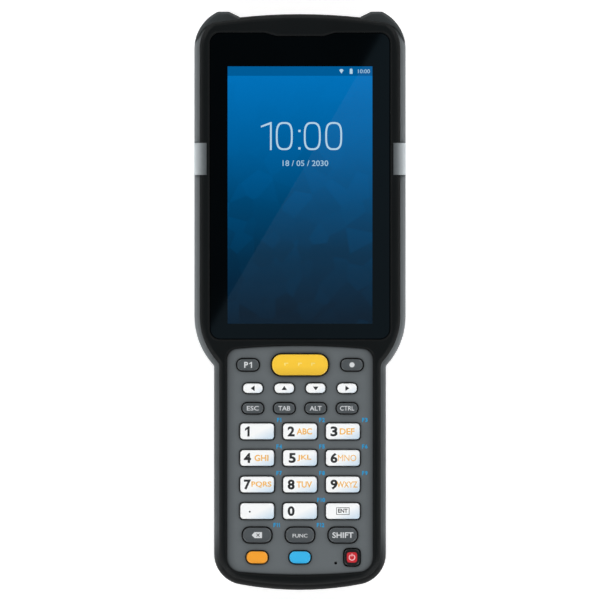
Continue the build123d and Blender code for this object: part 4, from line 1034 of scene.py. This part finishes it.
# %% The panel
BOND = 0.1 * MM
PANEL_CORNER = 1.0 * MM
PANEL_TOP = glass_low.z - BOND
panel_low, panel_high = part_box("display_module")
middle = (panel_low + panel_high) / 2
size = panel_high - panel_low
outline = rounded_outline(size.x, size.y, PANEL_CORNER, 3)
panel_rings = [[(middle.x + x, middle.y + y, z) for x, y in outline] for z in (panel_low.z, PANEL_TOP)]
panel = stack("lit_screen_panel", panel_rings, LIT_PANEL)
on_terminal(panel)
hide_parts("display_module")
print("the panel is", round((PANEL_TOP - panel_low.z) / MM, 2), "mm thick")

# %% [markdown]
# ## What the screen shows
#
# A status strip with a signal fan, a battery and a small clock, then a large clock, and a line of
# plain numbers for the date. Each is a thin lit film just above the panel. The large clock has thin
# strokes of one width, so its figures are drawn: a nought is the band between two rounded outlines.

# %% Lit films
FILM_Z = PANEL_TOP + 0.004 * MM
LIT_FILM = 0.015 * MM
UPPER_FILM_Z = FILM_Z + LIT_FILM / 2


def lit(name, colour):
    """A finish that shows its colour as light, with a faint pixel grain."""
    finish = Finish(name, Roughness=0.5, Specular_IOR_Level=0.0, Emission_Strength=1.0)
    shown = finish.mix(finish.grain(0.3), toned(colour, 0.9), colour)
    finish.give(Base_Color=UNLIT, Emission_Color=shown)
    return finish


LIT_WHITE = lit("lit_white", linear(192, 224, 244))
LIT_PALE = lit("lit_pale", linear(170, 208, 234))
LIT_STRIP = lit("lit_status_strip", linear(0, 97, 160))
print("a lit film is", round(LIT_FILM / MM, 3), "mm thick")


# %% Clock figures
def nought(x, y, width, height, stroke, steps=40, squareness=3.1):
    """The outer and inner outline of a nought whose sides are flatter than an oval's."""
    pair = []
    for inset in (0.0, stroke):
        across, up = width / 2 - inset, height / 2 - inset
        outline = []
        for step in range(steps):
            turn = 2 * math.pi * step / steps
            cosine, sine = math.cos(turn), math.sin(turn)
            reach = (abs(cosine) ** squareness + abs(sine) ** squareness) ** (-1 / squareness)
            outline.append((x + across * cosine * reach, y + up * sine * reach))
        pair.append(outline)
    return pair


STROKE = 0.62
CLOCK_Y = SCREEN_TOP - 24.4
CLOCK_HEIGHT = 9.8
NOUGHT_WIDTH = 5.9
NOUGHT_MIDDLES = (-5.5, 4.3, 11.8)
COLON_LEFT = -0.6
COLON_DOTS = (-4.3, 1.8)
DOT = 0.4
noughts = [nought(x, CLOCK_Y, NOUGHT_WIDTH, CLOCK_HEIGHT, STROKE) for x in NOUGHT_MIDDLES]
pairs = [in_metres(pair) for pair in noughts]
on_terminal(hoop("screen_clock_noughts", pairs, FILM_Z, LIT_FILM, LIT_WHITE))
clock_one = figure_one(-13.7, CLOCK_Y - CLOCK_HEIGHT / 2, 3.8, CLOCK_HEIGHT, STROKE, 1.3)
dots = [CLOCK_Y + y for y in COLON_DOTS]
colon = [bar(COLON_LEFT, COLON_LEFT + 2 * DOT, y - DOT, y + DOT) for y in dots]
one_and_colon = in_metres([clock_one, *colon])
on_terminal(sheet("screen_clock_one", one_and_colon, FILM_Z, LIT_FILM, LIT_WHITE))
print("the clock's figures stand", CLOCK_HEIGHT, "mm high")

# %% Status strip and its icons
STRIP_HEIGHT = 3.3
ICON_Y = SCREEN_TOP - 1.7
strip = in_metres([bar(-SCREEN_HALF, SCREEN_HALF, SCREEN_TOP - STRIP_HEIGHT, SCREEN_TOP)])
on_terminal(sheet("screen_status_strip", strip, FILM_Z, LIT_FILM, LIT_STRIP))
FAN_X = 14.5
FAN_FOOT = ICON_Y - 0.8
FAN_TURNS = (-0.75, -0.4, 0.0, 0.4, 0.75)
fan = [(FAN_X + 1.1 * math.sin(turn), FAN_FOOT + 1.6 * math.cos(turn)) for turn in FAN_TURNS]
fan.insert(0, (FAN_X, FAN_FOOT))
cell = [bar(17.4, 18.4, ICON_Y - 0.9, ICON_Y + 0.75), bar(17.7, 18.1, ICON_Y + 0.8, ICON_Y + 1.0)]
icons = in_metres([fan[::-1], *cell])
on_terminal(sheet("screen_status_icons", icons, UPPER_FILM_Z, LIT_FILM, LIT_WHITE))
print("the status strip is", STRIP_HEIGHT, "mm high")

# %% Date and small clock
SCREEN_WORDS = {
    "screen_date": ("18 / 05 / 2030", (1.9, SCREEN_TOP - 33.9), (16.0, 2.0)),
    "screen_small_clock": ("10:00", (22.4, ICON_Y), (4.2, 1.4)),
}
for name, (text, (x, y), (width, height)) in SCREEN_WORDS.items():
    place, span = (x * MM, y * MM), (width * MM, height * MM)
    on_terminal(words(name, text, place, span, UPPER_FILM_Z, LIT_FILM, LIT_PALE, 0.01))
print(len(SCREEN_WORDS), "lines of text on the screen")

# %% [markdown]
# ## The table
#
# The table is white. Near the terminal it is a plain lit surface that takes shadows, and further
# out it goes over to pure white, so no edge of it shows. Light Path tells the rays that look, from
# the camera or off a mirror, from those that only carry light. Only the looking rays are shown the
# extra white, so it doesn't light the terminal's matt surfaces. From below the table is clear and
# lets lamp light through, so the back can be looked at from there.

# %% Rays that look
def look_ray(shader, *kinds):
    """1 for rays of some kinds, and 0 for the rays that only carry light."""
    rays = [shader.node("ShaderNodeLightPath", f"Is {kind} Ray", {}, {}) for kind in kinds]
    return sum(rays[1:], rays[0]).clamped()


# %% White table
TABLE_GLOW = 0.5
CLEAR_RADIUS = 220.0
FADE_RADIUS = 260.0
TABLE_RADIUS = 6.0
TABLE_DEPTH = 0.01
PAPER = (0.9, 0.9, 0.9, 1.0)


def white_table():
    """White with a little light of its own for looking rays, which still takes shadows."""
    finish = Finish("table_white", Base_Color=PAPER, Roughness=0.9, Specular_IOR_Level=0.0)
    plain = Wire(finish, finish.surface.outputs[0])
    both = {"Shader": plain, "Shader_001": finish.glowing(WHITE, TABLE_GLOW)}
    near = finish.node("ShaderNodeAddShader", "Shader", {}, both)
    white = finish.glowing(WHITE, 1.0)
    place = {"Vector": finish.place()}
    radius = finish.node("ShaderNodeVectorMath", "Value", {"operation": "LENGTH"}, place)
    far = (radius / MM).past(CLEAR_RADIUS, FADE_RADIUS)
    looking = look_ray(finish, "Camera", "Glossy", "Transmission")
    seen = finish.blend(looking, plain, finish.blend(far, near, white))
    through = (look_ray(finish, "Shadow") + (0 - finish.facing_up()).clamped()).clamped()
    clear = finish.node("ShaderNodeBsdfTransparent", "BSDF", {}, {})
    finish.show(finish.blend(through, seen, clear))
    return finish


table = sheet("table", [circle(TABLE_RADIUS, 64)], -TABLE_DEPTH, TABLE_DEPTH, white_table())
print("the table is", 2 * TABLE_RADIUS, "m across")

# %% [markdown]
# ## Lamps and room
#
# Black glass shows whatever stands in its mirror direction, so nothing bright hangs overhead: the
# room is white low down and dark above, and four soft lamps stand at the sides. A fifth lamp, under
# the table, lights the back for anyone who looks from below.

# %% Lamps
AZIMUTHS = (45, 135, 225, 315)
SIDE_LAMP = {"elevation": 44, "distance": 1.7, "size": 0.8, "power": 8.0}
UNDER_LAMP = {"elevation": -89, "distance": 1.2, "size": 1.2, "power": 6.0}


def soft_lamp(name, azimuth, elevation, distance, size, power):
    """A square area lamp that faces the middle of the object."""
    lamp = bpy.data.lights.new(name, "AREA")
    lamp.shape = "SQUARE"
    lamp.size = size
    lamp.energy = power
    holder = bpy.data.objects.new(name, lamp)
    turn, tilt = math.radians(azimuth), math.radians(elevation)
    direction = (math.cos(tilt) * math.cos(turn), math.cos(tilt) * math.sin(turn), math.sin(tilt))
    holder.location = [distance * d for d in direction]
    holder.rotation_euler = (math.pi / 2 - tilt, 0.0, turn + math.pi / 2)
    holder.visible_camera = False
    bpy.context.scene.collection.objects.link(holder)


for corner, azimuth in enumerate(AZIMUTHS):
    soft_lamp(f"soft_lamp_{corner}", azimuth, **SIDE_LAMP)
soft_lamp("under_lamp", 0, **UNDER_LAMP)
print(len(AZIMUTHS), "lamps of", SIDE_LAMP["power"], "W above the table and one below")

# %% The room
AMBIENT = 0.25
CEILING_STARTS = 0.3
CEILING_FADE = 0.3
world = bpy.data.worlds.new("room")
world.use_nodes = True
room = Shader(world.node_tree)
background = world.node_tree.nodes["Background"]
direction = room.node("ShaderNodeTexCoord", "Generated", {}, {})
ceiling = room.upward(direction).past(CEILING_STARTS, CEILING_FADE)
seen = look_ray(room, "Camera")
mirrored = look_ray(room, "Glossy", "Transmission")
lighting = (1 - seen - mirrored).clamped()
room.feed(background.inputs["Strength"], seen + mirrored * (1 - ceiling) + AMBIENT * lighting)
room.feed(background.inputs["Color"], WHITE)
bpy.context.scene.world = world
print("the room lights the terminal at a strength of", AMBIENT)

# %% [markdown]
# ## A sheen on the glass
#
# One dim card overhead gives the black glass its sheen, with a slanting edge. The edge is planned
# from two points on the glass. The mirror of a flat glass acts like a window, so a point on the
# glass stands for the point of the card that the camera would see through it, further out by the
# card's height over the camera's distance.

# %% The card
CAMERA_DISTANCE = 3.5
CARD_HEIGHT = 2.4
CARD_DEPTH = 0.01
CARD_GLOW = 0.12
CARD_TINT = (0.5, 0.78, 1.0, 1.0)
CARD_RUN = 8.0
CARD_REACH = 12.0
SHEEN_TOP = (27.9 * MM, 92.2 * MM)
SHEEN_FOOT = (-31.0 * MM, -9.2 * MM)


def card_corners():
    """A card whose long edge, in the mirror of the glass, runs through two points."""
    scale = 1 + CARD_HEIGHT / CAMERA_DISTANCE
    run = (SHEEN_TOP[0] - SHEEN_FOOT[0], SHEEN_TOP[1] - SHEEN_FOOT[1])
    start = [scale * (f - CARD_RUN * r) for f, r in zip(SHEEN_FOOT, run)]
    end = [scale * (t + CARD_RUN * r) for t, r in zip(SHEEN_TOP, run)]
    away = (run[1] * CARD_REACH, -run[0] * CARD_REACH)
    return [end, start, [s + a for s, a in zip(start, away)], [e + a for e, a in zip(end, away)]]


def sheen_card():
    """A dim card overhead that only mirrors see."""
    finish = Finish("sheen_card")
    finish.show(finish.glowing(CARD_TINT, CARD_GLOW))
    card = sheet("sheen_card", [card_corners()], CARD_HEIGHT, CARD_DEPTH, finish)
    card.visible_camera = False
    card.visible_diffuse = False
    card.visible_shadow = False


sheen_card()
print("the card hangs", CARD_HEIGHT, "m over the table")

# %% [markdown]
# ## Camera
#
# A flat thing is shown best by a camera straight above it. A long lens from far away keeps the
# sides of the terminal out of view. The Standard view transform shows colours as they are written.

# %% Camera straight above
LENS = 600.0
SENSOR = 36.0
AIM_Y = 0.3 * MM
camera = bpy.data.cameras.new("camera")
camera.lens = LENS
camera.sensor_width = SENSOR
holder = bpy.data.objects.new("camera", camera)
holder.location = (0.0, AIM_Y, CAMERA_DISTANCE + terminal_high[2])
bpy.context.scene.collection.objects.link(holder)
bpy.context.scene.camera = holder
bpy.context.scene.view_settings.view_transform = "Standard"
print("the camera sees", round(SENSOR / LENS * CAMERA_DISTANCE / MM), "mm across")
